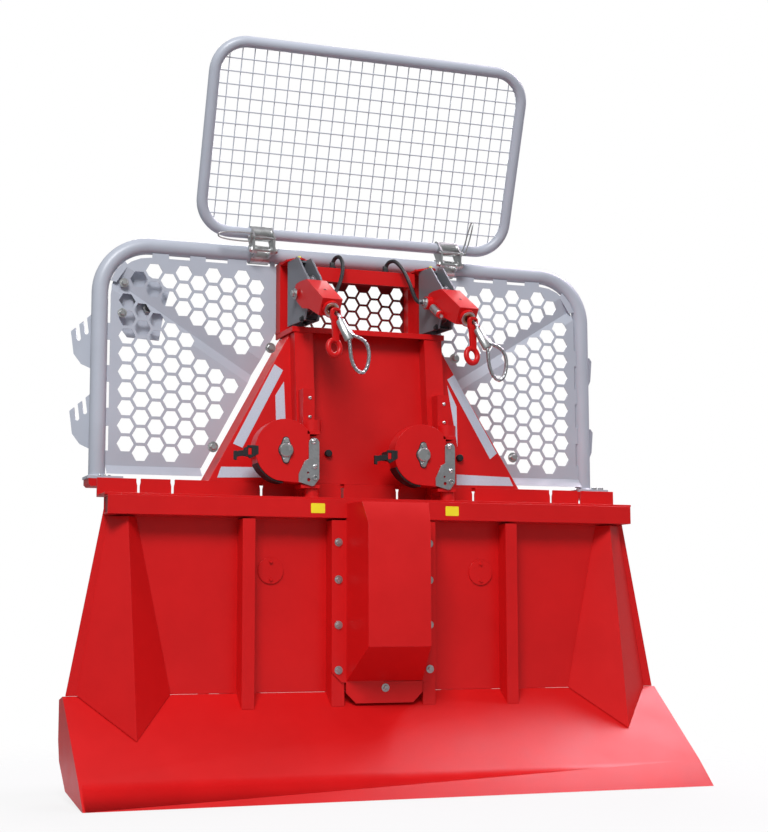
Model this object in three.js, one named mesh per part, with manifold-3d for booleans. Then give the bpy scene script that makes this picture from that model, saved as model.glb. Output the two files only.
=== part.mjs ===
// Two-drum hydraulic forestry winch for a tractor's three-point hitch.
// Millimetres, +Z up. The log blade faces -Y and the tractor stands at +Y.
// X is zero on the plane of symmetry, Z is zero on the ground under the blade's lip.
import * as THREE from 'three';
import { ConvexGeometry } from 'three/addons/geometries/ConvexGeometry.js';
import { mergeVertices } from 'three/addons/utils/BufferGeometryUtils.js';
import Module from 'manifold-3d';

const wasm = await Module();
wasm.setup();

// Driving dimensions

const gap = 0.3;
const running = 0.7;
const overrun = 20;
const weldTolerance = 1e-4;
const degree = Math.PI / 180;
const roundSides = 16;
const smallSides = 10;
const bendSteps = 6;
const grooveFloorShare = 0.55;

// Heights above Z and depths along Y are measured from the ground and from the top beam's front face.
const blade = { face: 59, sheet: 6, footHalf: 900, topHalf: 798, foot: 273, top: 819 };
const toe = { front: 270, creaseFront: 196, creaseHeight: 69, sheet: 8 };
const cheek = { sheet: 8, back: 113, drop: 11, heel: 154, tail: 93, tailHeight: 99, sole: 10, soleHeight: 28, toeFlat: 21 };
// The insets count from the blade's edge at its foot and at its top.
const gusset = {
  tipInset: 165, tipY: -89, outerFootInset: 28, innerFootInset: 290,
  ridgeInset: 53, ridgeY: 22, outerTopInset: 5, innerTopInset: 84, top: 762, fold: 6,
};
const rib = { front: 5, outerFrom: 386, outerTo: 423, innerFrom: 120, innerTo: 159, innerFront: 8, top: 760, sheet: 5 };
const inspection = { x: 326, height: 616, radius: 37, sheet: 3 };
const beam = { half: 806, bottom: 766, top: 819, wall: 5 };
const rack = { face: 122, half: 813, top: 874, sheet: 8, shelf: 6, shelfFront: 10 };
const notch = { mouth: 13, mouthDepth: 20, slot: 8, depth: 42, places: [87, 335, 597, 695] };
const cover = {
  front: 122, half: 94, rootHalf: 117, low: 402, high: 745, top: 809, topHalf: 101, topReach: 88,
  foot: 300, flangeFoot: 241, flangeHalf: 160, flangeTop: 760, flangeFront: 3, sheet: 4, corner: 30,
};
const tower = {
  lean: 5.5, base: 881, baseY: 132, baseHalf: 487, topHalf: 243, top: 1310, sheet: 6, depth: 108, edge: 6,
};
const shelf = { half: 243, front: 125, back: 295, top: 1339, lip: 16, sheet: 6 };
const duct = { inner: 178, outer: 235, depth: 46, wall: 5 };
const mast = { inner: 172, outer: 244, front: 245, back: 295, top: 1554, wall: 6 };
const crossbar = { front: 200, bottom: 1497, top: 1540, wall: 5 };
const ear = { thickness: 6, radius: 18 };
const mastPanel = { back: 285, sheet: 3, top: 1535, rows: 43, columns: 37.2, hole: 36.5, topMargin: 34, sideMargin: 20 };
// The guard's posts stand over the rack's ends, set in by the guard's inset. Both foot plates reach further to +X.
const guard = {
  inset: 27, y: 275, top: 1579, radius: 24.15, bend: 148, foot: 881, footSheet: 8, footNear: 34, footFar: 70, footY: 40,
};
const postX = rack.half - guard.inset;
const sheet = {
  back: 265, thickness: 3, inner: 252, edgeGap: 8, topGap: 14, shoulder: 1342, footX: 480, foot: 922, flange: 26, hole: 44,
  row: 52.9, column: 44.9, border: 33, slopeBorder: 36,
  topTabs: [[256, 271], [345, 404]],
  outerTabs: [[314, 266], [202, 152]],
  sideTabs: [[922, 965], [1037, 1090], [1166, 1215], [1290, 1340]],
  cornerTab: [17, 51],
};
const groove = { outerHeight: 1474, innerHeight: 1201, outerInset: 35, innerX: 313, upper: 53, lower: 30, depth: 15 };
const grooveOuter = postX - groove.outerInset;
// The combs are bent back from their strip; their outline counts outwards from the bend and down from the top.
const comb = {
  y: 299.5, sheet: 5, stripInset: 18, stripReach: 12, angle: 31, lean: 8, reach: 70, shoulder: 8, drop: 48, edge: 115,
  lipReach: 37, lip: 146, heel: 164, slot: 13, slotDepth: 38, slots: [50.5, 26.8],
};
const combs = [1369, 1133];
const screen = {
  hingeY: 225, hingeHeight: 1584, tubeY: 255, tubeHeight: 1640, lean: 20.4, half: 495, height: 562, radius: 16.85, corner: 95,
};
const net = { columns: 12, rows: 6, wire: 4, thickness: 4 };
const clamp = { x: 305, half: 30, ringWall: 4.5, earFrom: 20, earTo: 28, earRadius: 13, boltRadius: 5, bracketSheet: 6, bracketWall: 5.5 };
const lockPin = { radius: 4, y: 4, height: 36, bail: 100, bailHalf: 12, wire: 3, collar: 8 };
const head = { x: 212, y: 162, yaw: 5, pitch: 33, pivotReach: 62, pivotHeight: 91, pin: 8 };
const bracket = { half: 24, sheet: 6, back: 28, foot: 8, top: 205, topReach: 50, swing: 71, neck: 100, bearing: 17, bore: 12, topPin: 10 };
const arm = {
  heel: 25, heelLow: 15, heelHigh: 20, keelFrom: 20, keelTo: 60, keel: 20, stepAt: 110, shoulder: 40,
  half: 31, sheet: 6, length: 185, top: 66, frontFoot: 12, boxStart: 45, ring: 25, ringBore: 13, ringLength: 12, ringV: 36,
  eyeRadius: 20, eyeReach: 47, cylinder: 11, cylinderFrom: 42, cylinderTo: 104, cylinderV: 4,
};
const sheave = { radius: 61, half: 12, groove: 9, grooveHalf: 8.5 };
const rope = { radius: 5.5, sides: 6 };
const ferrule = { radius: 10 };
const hook = { x: -3, y: -272, height: -1, half: 7, block: 17, bar: 7, drop: 76, ring: 24, ringBore: 10, ringX: -14, ringDrop: 98, bore: 10.6 };
const hose = { radius: 6, sides: 6 };
const pulley = {
  x: 211, y: 36, centreX: -86, centre: 957, radius: 90, cut: 72, half: 28, sheet: 5, foot: 862, strapHalf: 16,
  capRadius: 22, capReach: 6, axle: 12, stub: 16, stubBore: 9, blockSheet: 10,
};
const pulleySheave = { radius: 76, half: 15, groove: 11, grooveHalf: 8 };
const boss = { radius: 27, bottom: 1016, top: 1048, plateHalf: 17.5, plateTop: 1145, plateFront: 62 };
const post = { radius: 22, top: 850 };
const buffer = { radius: 10, length: 12, x: 84, height: 965 };
const latch = { length: 52, half: 6, thickness: 5, block: 22, blockHalf: 13, height: 952, handleHalf: 16, handle: 10 };

// The tool holder's corners and bolts, counted inwards from the left post.
const holder = {
  outer: 51, footX: 86, neckX: 96, inner: 181, tipX: 196,
  edgeX: 212, low: 1300, lowCorner: 1305, heel: 1350, tip: 1395, edge: 1455, shoulder: 1480, high: 1525,
  bolts: [[68, 1462], [64, 1372]],
};

// The rear frame and the drive behind the blade
const drumAxis = { y: 235, height: 490 };
const gearCase = { half: 80, radius: 240, blockBack: 480, blockHalf: 78 };
const shaft = { radius: 25, half: 361 };
const drum = { from: 86, to: 330, flange: 155, core: 112, flangeSheet: 10 };
const frame = {
  sideFrom: 352, sideTo: 362, sideBack: 430, foot: 165, beamFront: 130, beamBack: 316, beamBottom: 745, beamTop: 819, wall: 8,
  tubeFrom: 300, tubeTo: 380, tubeBottom: 165, tubeTop: 245, tubeWall: 6,
};
// The guard's supports on the upper beam's ends, measured from the post
const support = { beamEnd: 51, inner: 86, outer: 30, far: 66, depth: 22, corner: 7 };
const leg = { x: 620, y: 340, half: 30, foot: 8, footHalf: 60, top: 480, wall: 5, socketWall: 6, socketTop: 500 };
const lowerLink = { x: 412, inner: 27, sheet: 12, y: 440, height: 480, radius: 34, pin: 14, back: 474 };
const topLink = { inner: 30, sheet: 12, y: 372, height: 1010, radius: 32, pin: 12.7, pinHalf: 58, headRadius: 20, headLength: 8 };
const pto = { radius: 17.5, length: 70, collar: 32, collarLength: 8 };
const rearCover = { back: 425, sheet: 4, top: 735, foot: 345, half: 351.7, shaftHalf: 84 };
const tank = { from: 400, to: 560, back: 250, bottom: 505, top: 735, corner: 22, cap: 26, capLength: 16 };
const valve = { from: 400, to: 520, back: 190, bottom: 560, top: 700, plug: 12, plugLength: 14 };

// The frame's own origin: under the middle of the whole winch
const rearReach = gearCase.blockBack + pto.length;
const originY = (rearReach - toe.front) / 2;

// Materials

const finish = (color, roughness, metalness) => new THREE.MeshStandardMaterial({ color, roughness, metalness });
const redPaint = () => finish(0xc81e1e, 0.38, 0.1);
const greyPaint = () => finish(0xb4b8c2, 0.42, 0.15);
const darkGrey = () => finish(0x63676c, 0.5, 0.3);
const zinc = () => finish(0xa8abac, 0.35, 0.9);
const steel = () => finish(0x8c8e90, 0.4, 0.9);
const rubber = () => finish(0x16171a, 0.75, 0);
const blackPaint = () => finish(0x222326, 0.55, 0.1);

// Solids from three.js geometry

function solid(geometry) {
  const bare = geometry.clone();
  bare.deleteAttribute('normal');
  bare.deleteAttribute('uv');
  const merged = mergeVertices(bare, weldTolerance);
  return new wasm.Manifold(new wasm.Mesh({
    numProp: 3,
    vertProperties: new Float32Array(merged.attributes.position.array),
    triVerts: new Uint32Array(merged.index.array),
  }));
}

const join = (...bodies) => bodies.reduce((whole, body) => whole.add(body));
const cut = (whole, ...tools) => tools.reduce((rest, tool) => rest.subtract(tool), whole);

function box([x0, x1], [y0, y1], [z0, z1]) {
  const geometry = new THREE.BoxGeometry(Math.abs(x1 - x0), Math.abs(y1 - y0), Math.abs(z1 - z0));
  return solid(geometry.translate((x0 + x1) / 2, (y0 + y1) / 2, (z0 + z1) / 2));
}

const outline = (points) => new THREE.Shape(points.map(([a, b]) => new THREE.Vector2(a, b)));

// An outline drawn in two of the axes is pulled along the third one.
const basisAlong = {
  x: [[0, 1, 0], [0, 0, 1], [1, 0, 0]],
  y: [[0, 0, 1], [1, 0, 0], [0, 1, 0]],
  z: [[1, 0, 0], [0, 1, 0], [0, 0, 1]],
};

function pull(shapes, axis, from, to, curveSegments = 6) {
  const geometry = new THREE.ExtrudeGeometry(shapes, { depth: to - from, bevelEnabled: false, curveSegments });
  geometry.translate(0, 0, from);
  const basis = basisAlong[axis].map((column) => new THREE.Vector3(...column));
  return solid(geometry.applyMatrix4(new THREE.Matrix4().makeBasis(...basis)));
}

// Outlines for a pull along Y are written as [Z, X], which keeps the frame right-handed.
const facing = (points) => outline(points.map(([x, z]) => [z, x]));

function disc(centre, radius) {
  const shape = new THREE.Shape();
  shape.absarc(centre[0], centre[1], radius, 0, 2 * Math.PI);
  return shape;
}

function rod(from, to, radius, sides = roundSides) {
  const start = new THREE.Vector3(...from);
  const end = new THREE.Vector3(...to);
  const way = end.clone().sub(start);
  const geometry = new THREE.CylinderGeometry(radius, radius, way.length(), sides);
  const turn = new THREE.Quaternion().setFromUnitVectors(new THREE.Vector3(0, 1, 0), way.normalize());
  geometry.applyQuaternion(turn);
  return solid(geometry.translate(...start.add(end).multiplyScalar(1 / 2).toArray()));
}

function pipe(from, to, radius, bore, sides = roundSides) {
  const start = new THREE.Vector3(...from);
  const end = new THREE.Vector3(...to);
  const extra = end.clone().sub(start).normalize().multiplyScalar(overrun);
  const core = rod(start.clone().sub(extra).toArray(), end.clone().add(extra).toArray(), bore, sides);
  return cut(rod(from, to, radius, sides), core);
}

const hull = (points) => solid(new ConvexGeometry(points.map((point) => new THREE.Vector3(...point))));

// A route passes through its points as they are given, so a tube gets one ring at each point.
class Route extends THREE.Curve {
  constructor(points) {
    super();
    this.points = points.map((point) => new THREE.Vector3(...point));
  }

  getPoint(t) {
    const last = this.points.length - 1;
    const low = Math.min(Math.floor(t * last), last - 1);
    return this.points[low].clone().lerp(this.points[low + 1], t * last - low);
  }

  getSpacedPoints() {
    return this.points.map((point) => point.clone());
  }

  getTangentAt(u, target = new THREE.Vector3()) {
    const last = this.points.length - 1;
    const here = Math.round(u * last);
    const after = this.points[Math.min(here + 1, last)];
    return target.copy(after).sub(this.points[Math.max(here - 1, 0)]).normalize();
  }
}

function tube(points, radius, sides) {
  const section = [];
  for (let i = 0; i < sides; i += 1) {
    const angle = (2 * Math.PI * i) / sides;
    section.push([radius * Math.cos(angle), radius * Math.sin(angle)]);
  }
  const path = new Route(points);
  return solid(new THREE.ExtrudeGeometry(outline(section), { steps: points.length - 1, extrudePath: path }));
}

// Points of a quarter bend in the plane of X and Z at depth y.
function bendPoints(centreX, centreZ, radius, startAngle, y, steps = bendSteps) {
  const points = [];
  for (let i = 0; i <= steps; i += 1) {
    const angle = startAngle - (Math.PI / 2) * (i / steps);
    points.push([centreX + radius * Math.cos(angle), y, centreZ + radius * Math.sin(angle)]);
  }
  return points;
}

// A flat-topped hexagon in the plane of X and Z.
function hexagon(x, z, acrossFlats) {
  const radius = acrossFlats / Math.sqrt(3);
  const points = [];
  for (let i = 0; i < 6; i += 1) {
    points.push([x + radius * Math.cos(i * 60 * degree), z + radius * Math.sin(i * 60 * degree)]);
  }
  return facing(points);
}

// A wheel on the Y or X axis with a rope groove and a bore.
function groovedWheel({ radius, half, groove: grooveDepth, grooveHalf }, bore, axis) {
  const profile = [
    [bore, -half], [radius, -half], [radius, -grooveHalf], [radius - grooveDepth, -grooveHalf * grooveFloorShare],
    [radius - grooveDepth, grooveHalf * grooveFloorShare], [radius, grooveHalf], [radius, half], [bore, half], [bore, -half],
  ];
  const lathe = new THREE.LatheGeometry(profile.map(([a, b]) => new THREE.Vector2(a, b)), roundSides);
  if (axis === 'x') {
    lathe.rotateZ(-Math.PI / 2);
  }
  return solid(lathe);
}

function moved(body, matrix) {
  const { vertProperties, triVerts } = body.getMesh();
  const geometry = new THREE.BufferGeometry();
  geometry.setAttribute('position', new THREE.BufferAttribute(new Float32Array(vertProperties), 3));
  geometry.setIndex(new THREE.BufferAttribute(new Uint32Array(triVerts), 1));
  return solid(geometry.applyMatrix4(matrix));
}

// The mesh of a body; side -1 gives its mirror image in the plane of symmetry.
function meshOf(name, body, material, side = 1) {
  const { vertProperties, triVerts } = body.getMesh();
  const positions = Float32Array.from(vertProperties, (value, i) => (i % 3 === 0 ? value * side : value));
  const index = Uint32Array.from(triVerts);
  if (side < 0) {
    for (let i = 0; i < index.length; i += 3) {
      [index[i + 1], index[i + 2]] = [index[i + 2], index[i + 1]];
    }
  }
  const geometry = new THREE.BufferGeometry();
  geometry.setAttribute('position', new THREE.BufferAttribute(positions, 3));
  geometry.setIndex(new THREE.BufferAttribute(index, 1));
  geometry.computeVertexNormals();
  const mesh = new THREE.Mesh(geometry, material);
  mesh.name = name;
  return mesh;
}

// Log blade

const toeSlope = (blade.foot - toe.creaseHeight) / (blade.face + toe.creaseFront);
const toeHeight = (y) => blade.foot - (blade.face - y) * toeSlope;

function bladePlate() {
  const { footHalf, topHalf, foot, top, face, sheet: thick } = blade;
  const plate = pull(facing([
    [-footHalf, foot + gap], [footHalf, foot + gap], [topHalf, top], [-topHalf, top],
  ]), 'y', face, face + thick);
  const chord = Math.sqrt(gearCase.radius ** 2 - (drumAxis.y - face - thick) ** 2) + overrun / 2;
  const halfWidth = gearCase.half + overrun / 3;
  const window = box(
    [-halfWidth, halfWidth],
    [face - overrun, face + thick + overrun],
    [drumAxis.height - chord, drumAxis.height + chord],
  );
  const discs = [-1, 1].map((side) => rod(
    [side * inspection.x, face - inspection.sheet, inspection.height],
    [side * inspection.x, face + thick / 2, inspection.height],
    inspection.radius,
  ));
  return join(cut(plate, window), ...discs);
}

function bladeToe() {
  const run = Math.hypot(blade.face + toe.creaseFront, blade.foot - toe.creaseHeight);
  const backShift = (toe.sheet * (blade.foot - toe.creaseHeight)) / run;
  const downShift = (toe.sheet * (blade.face + toe.creaseFront)) / run;
  const slope = outline([
    [-toe.front, 0], [-toe.creaseFront, toe.creaseHeight], [blade.face, blade.foot],
    [blade.face + backShift, blade.foot - downShift], [-toe.creaseFront + backShift, toe.creaseHeight - downShift],
    [-toe.front + toe.sheet * 3 / 2, 0],
  ].reverse());
  const side = outline([
    [-toe.front, 0], [-toe.front + cheek.toeFlat, 0], [-cheek.sole, cheek.soleHeight], [cheek.tail, cheek.tailHeight],
    [cheek.back, cheek.heel], [cheek.back, blade.foot - cheek.drop], [blade.face, blade.foot],
    [-toe.creaseFront, toe.creaseHeight],
  ]);
  const outer = blade.footHalf + cheek.sheet;
  return join(
    pull(slope, 'x', -blade.footHalf - cheek.sheet / 2, blade.footHalf + cheek.sheet / 2),
    pull(side, 'x', blade.footHalf, outer),
    pull(side, 'x', -outer, -blade.footHalf),
  );
}

function cornerGusset() {
  const { tipInset, tipY, outerFootInset, innerFootInset, ridgeInset, ridgeY, outerTopInset, innerTopInset, top, fold } = gusset;
  const foot = (inset) => blade.footHalf - inset;
  const head = (inset) => blade.topHalf - inset;
  const back = blade.face - gap;
  const lift = gap + toe.sheet / 4;
  const corners = (y, rise, reach) => [
    [head(ridgeInset), ridgeY + y, top - rise], [foot(tipInset), tipY + y, toeHeight(tipY) + lift - rise],
    [head(outerTopInset), back + reach, top - rise], [head(innerTopInset), back + reach, top - rise],
    [foot(outerFootInset), back + reach, toeHeight(back) + lift - rise],
    [foot(innerFootInset), back + reach, toeHeight(back) + lift - rise],
  ];
  return cut(hull(corners(0, 0, 0)), hull(corners(fold, fold, fold)));
}

function bladeRib(from, to, front) {
  const back = blade.face - gap;
  const side = outline([
    [front, toeHeight(front) + gap], [back, toeHeight(back) + gap], [back, rib.top], [front, rib.top],
  ]);
  const hollow = box([from + rib.sheet, to - rib.sheet], [front + rib.sheet, back + overrun], [0, rib.top + overrun]);
  return cut(pull(side, 'x', from, to), hollow);
}

function topBeam() {
  const back = blade.face - gap;
  const { half, bottom, top, wall } = beam;
  const bore = box([-half - overrun, half + overrun], [wall, back - wall], [bottom + wall, top - wall]);
  return cut(box([-half, half], [0, back], [bottom, top]), bore);
}

function chainRack() {
  const { half, face, sheet: thick, top, shelf: shelfSheet, shelfFront } = rack;
  const low = beam.top + gap;
  const plate = box([-half, half], [face, face + thick], [low, top]);
  const ledge = box([-half, half], [shelfFront, face + thick], [low, low + shelfSheet]);
  const cuts = [];
  const posts = [];
  for (const side of [-1, 1]) {
    for (const place of notch.places) {
      const x = side * place;
      const across = [face - overrun, face + thick + overrun];
      cuts.push(pull(facing([
        [x - notch.slot / 2, top - notch.depth], [x + notch.slot / 2, top - notch.depth],
        [x + notch.slot / 2, top - notch.mouthDepth], [x + notch.mouth / 2, top - notch.mouthDepth / 2],
        [x + notch.mouth / 2, top + overrun], [x - notch.mouth / 2, top + overrun],
        [x - notch.mouth / 2, top - notch.mouthDepth / 2], [x - notch.slot / 2, top - notch.mouthDepth],
      ]), 'y', ...across));
    }
    const foot = [side * pulley.x, pulley.y, low];
    posts.push(pipe(foot, [foot[0], foot[1], post.top], post.radius, pulley.stub + running));
  }
  const drains = [-1, 1].map((side) => rod(
    [side * pulley.x, pulley.y, low - overrun], [side * pulley.x, pulley.y, low + overrun], pulley.stub + running,
  ));
  return join(cut(plate, ...cuts), cut(ledge, ...drains), ...posts);
}

function centreCover() {
  const { front, half, rootHalf, low, high, top, topHalf, topReach, foot, flangeFoot, flangeHalf, flangeTop } = cover;
  const flangeBack = rib.innerFront - gap;
  const shell = (inset, back) => hull([-1, 1].flatMap((side) => [
    [side * (half - inset), -front + inset, low + inset / 2], [side * (half - inset), -front + inset, high - inset / 2],
    [side * (topHalf - inset), -topReach + inset / 2, top - inset], [side * (rootHalf - inset), back, top - inset],
    [side * (rootHalf - inset), back, foot + inset],
  ]));
  const beamSpace = box([-flangeHalf, flangeHalf], [-gap, front], [beam.bottom - gap, top + overrun]);
  const flange = pull(facing([
    [-rootHalf + cover.corner, flangeFoot], [rootHalf - cover.corner, flangeFoot], [rootHalf, flangeFoot + cover.corner],
    [rootHalf, foot], [flangeHalf - cover.corner, foot], [flangeHalf, foot + cover.corner], [flangeHalf, flangeTop],
    [-flangeHalf, flangeTop], [-flangeHalf, foot + cover.corner], [-flangeHalf + cover.corner, foot],
    [-rootHalf, foot], [-rootHalf, flangeFoot + cover.corner],
  ]), 'y', cover.flangeFront, flangeBack);
  return cut(join(shell(0, flangeBack), flange), shell(cover.sheet, flangeBack + overrun), beamSpace);
}

// Tower

const leanSlope = Math.tan(tower.lean * degree);
const towerFace = (z) => tower.baseY + (z - tower.base) * leanSlope;
const wingX = (z) => tower.baseHalf - ((z - tower.base) * (tower.baseHalf - tower.topHalf)) / (tower.top - tower.base);
const shelfUnderside = shelf.top - shelf.sheet - gap;

// A body that follows the tower's lean: it is drawn upright from its foot and then sheared back.
function leaned(body) {
  const shear = new THREE.Matrix4().set(1, 0, 0, 0, 0, 1, leanSlope, 0, 0, 0, 1, 0, 0, 0, 0, 1);
  const place = new THREE.Matrix4().makeTranslation(0, tower.baseY, tower.base);
  return moved(body, place.multiply(shear));
}

function towerPlate() {
  const low = frame.beamTop + gap - tower.base;
  const high = shelfUnderside - tower.base;
  const trapezoid = (inset, bottom, top) => facing([
    [-wingX(bottom + tower.base) + inset, bottom], [wingX(bottom + tower.base) - inset, bottom],
    [wingX(top + tower.base) - inset, top], [-wingX(top + tower.base) + inset, top],
  ]);
  const shell = cut(
    pull(trapezoid(0, low, high), 'y', 0, tower.depth),
    pull(trapezoid(tower.edge, low - overrun, high + overrun), 'y', tower.sheet, tower.depth + overrun),
  );
  const rackSpace = box(
    [-tower.baseHalf - tower.depth, tower.baseHalf + tower.depth],
    [0, rack.face + rack.sheet + gap + tower.sheet],
    [0, rack.top + gap],
  );
  const buffers = [-1, 1].map((side) => {
    const x = side * pulley.x + buffer.x;
    const y = towerFace(buffer.height);
    return rod([x, y - buffer.length, buffer.height], [x, y + tower.sheet / 2, buffer.height], buffer.radius, smallSides);
  });
  return join(cut(leaned(shell), rackSpace), ...buffers);
}

function towerColumn() {
  const low = beam.top + rack.shelf + gap * 2;
  const high = shelf.top - shelf.lip - gap;
  const { inner, outer, depth, wall } = duct;
  const span = [low - tower.base, high - tower.base];
  const bore = box([inner + wall, outer - wall], [wall - depth, -wall], [span[0] - overrun, span[1] + overrun]);
  const column = leaned(cut(box([inner, outer], [-depth, -gap], span), bore));
  const rackSpace = box([0, outer + overrun], [rack.face - gap, rack.face + depth], [0, rack.top + gap]);
  const seat = towerFace(boss.bottom) - depth / 2;
  const carrier = join(
    rod([pulley.x, pulley.y, boss.bottom], [pulley.x, pulley.y, boss.top], boss.radius),
    box([pulley.x - boss.plateHalf, pulley.x + boss.plateHalf], [pulley.y, seat + wall], [boss.bottom, boss.top]),
    box([pulley.x - boss.plateHalf, pulley.x + boss.plateHalf], [boss.plateFront, seat + wall], [boss.top - wall, boss.plateTop]),
  );
  const clearDuct = leaned(bore);
  const pivot = rod(
    [pulley.x, pulley.y, boss.bottom - overrun], [pulley.x, pulley.y, boss.top + overrun], pulley.stub + running,
  );
  return join(cut(column, rackSpace), cut(carrier, pivot, clearDuct));
}

function towerShelf() {
  const { half, front, back, top, lip, sheet: thick } = shelf;
  const tray = box([-half, half], [front, back], [top - lip, top]);
  const under = box([thick - half, half - thick], [front + thick, back + overrun], [top - lip - overrun, top - thick]);
  const bores = [-1, 1].map((side) => rod(
    [side * head.x, head.y, top - lip - overrun], [side * head.x, head.y, top + overrun], bracket.bearing + running,
  ));
  return cut(tray, under, ...bores);
}

function mastFrame() {
  const foot = shelf.top + gap;
  const parts = [];
  const bores = [];
  const earFoot = shelf.top + bracket.top + gap * 2;
  for (const side of [-1, 1]) {
    const { inner, outer, front, back, top, wall } = mast;
    const across = [side * inner, side * outer];
    parts.push(box(across, [front, back], [foot, top]));
    const innerWall = [side * (inner + wall), side * (outer - wall)];
    bores.push(box(innerWall, [front + wall, back - wall], [foot - overrun, top - wall]));
    const neck = facing([[inner, earFoot], [outer, earFoot], [outer, earFoot + ear.thickness], [inner, earFoot + ear.thickness]]
      .map(([x, z]) => [side * x, z]));
    parts.push(pull(side > 0 ? neck : facing([
      [-outer, earFoot], [-inner, earFoot], [-inner, earFoot + ear.thickness], [-outer, earFoot + ear.thickness],
    ]), 'y', head.y + ear.radius, front + wall));
    parts.push(hull([earFoot, earFoot + ear.thickness].flatMap((z) => {
      const rim = [[side * inner, head.y + ear.radius + wall, z], [side * outer, head.y + ear.radius + wall, z]];
      for (let i = 0; i <= smallSides; i += 1) {
        const angle = (Math.PI * i) / smallSides;
        rim.push([side * head.x + ear.radius * Math.cos(angle), head.y - ear.radius * Math.sin(angle), z]);
      }
      return rim;
    })));
    bores.push(rod(
      [side * head.x, head.y, earFoot - overrun], [side * head.x, head.y, top + overrun], bracket.topPin + running,
    ));
  }
  const { front, bottom, top, wall } = crossbar;
  const reach = mast.inner + wall;
  const back = mast.front + wall;
  const bar = cut(
    box([-reach, reach], [front, back], [bottom, top]),
    box([-mast.inner, mast.inner], [front + wall, back + overrun], [bottom - overrun, top - wall]),
  );
  return cut(join(bar, ...parts), ...bores);
}

function honeycomb(originX, originZ, column, row, columns, rows, allowed, hole) {
  const cells = [];
  for (let i = 0; i < columns; i += 1) {
    for (let j = 0; j < rows; j += 1) {
      const x = originX + i * column;
      const z = originZ - (j + (i % 2) / 2) * row;
      if (allowed(x, z)) {
        cells.push(hexagon(x, z, hole));
      }
    }
  }
  return cells;
}

function mastPanelSheet() {
  const half = mast.inner - gap;
  const { back, sheet: thick, top, rows, columns, hole, topMargin, sideMargin } = mastPanel;
  const foot = shelf.top + gap;
  const columnCount = 2 * Math.floor((half - sideMargin) / columns) + 1;
  const firstX = (-(columnCount - 1) / 2) * columns;
  const rowCount = Math.floor((top - foot) / rows);
  const allowed = (x, z) => z > foot + hole / 2 + thick && z < top - topMargin;
  const cells = honeycomb(firstX, top - topMargin - rows / 4, columns, rows, columnCount, rowCount, allowed, hole);
  const plate = box([-half, half], [back - thick, back], [foot, top]);
  return cut(plate, pull(cells, 'y', back - overrun, back + overrun));
}

// Guard

function guardTube() {
  const { y, top, radius, bend, foot, footSheet, footNear, footFar, footY } = guard;
  const start = foot + gap + footSheet / 2;
  const path = [
    [-postX, y, start],
    ...bendPoints(-postX + bend, top - bend, bend, Math.PI, y),
    ...bendPoints(postX - bend, top - bend, bend, Math.PI / 2, y),
    [postX, y, start],
  ];
  const feet = [-1, 1].map((side) => box(
    [side * postX - footNear, side * postX + footFar], [y - footY, y + footY], [foot + gap, foot + gap + footSheet],
  ));
  return join(tube(path, radius, roundSides), ...feet);
}

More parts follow.
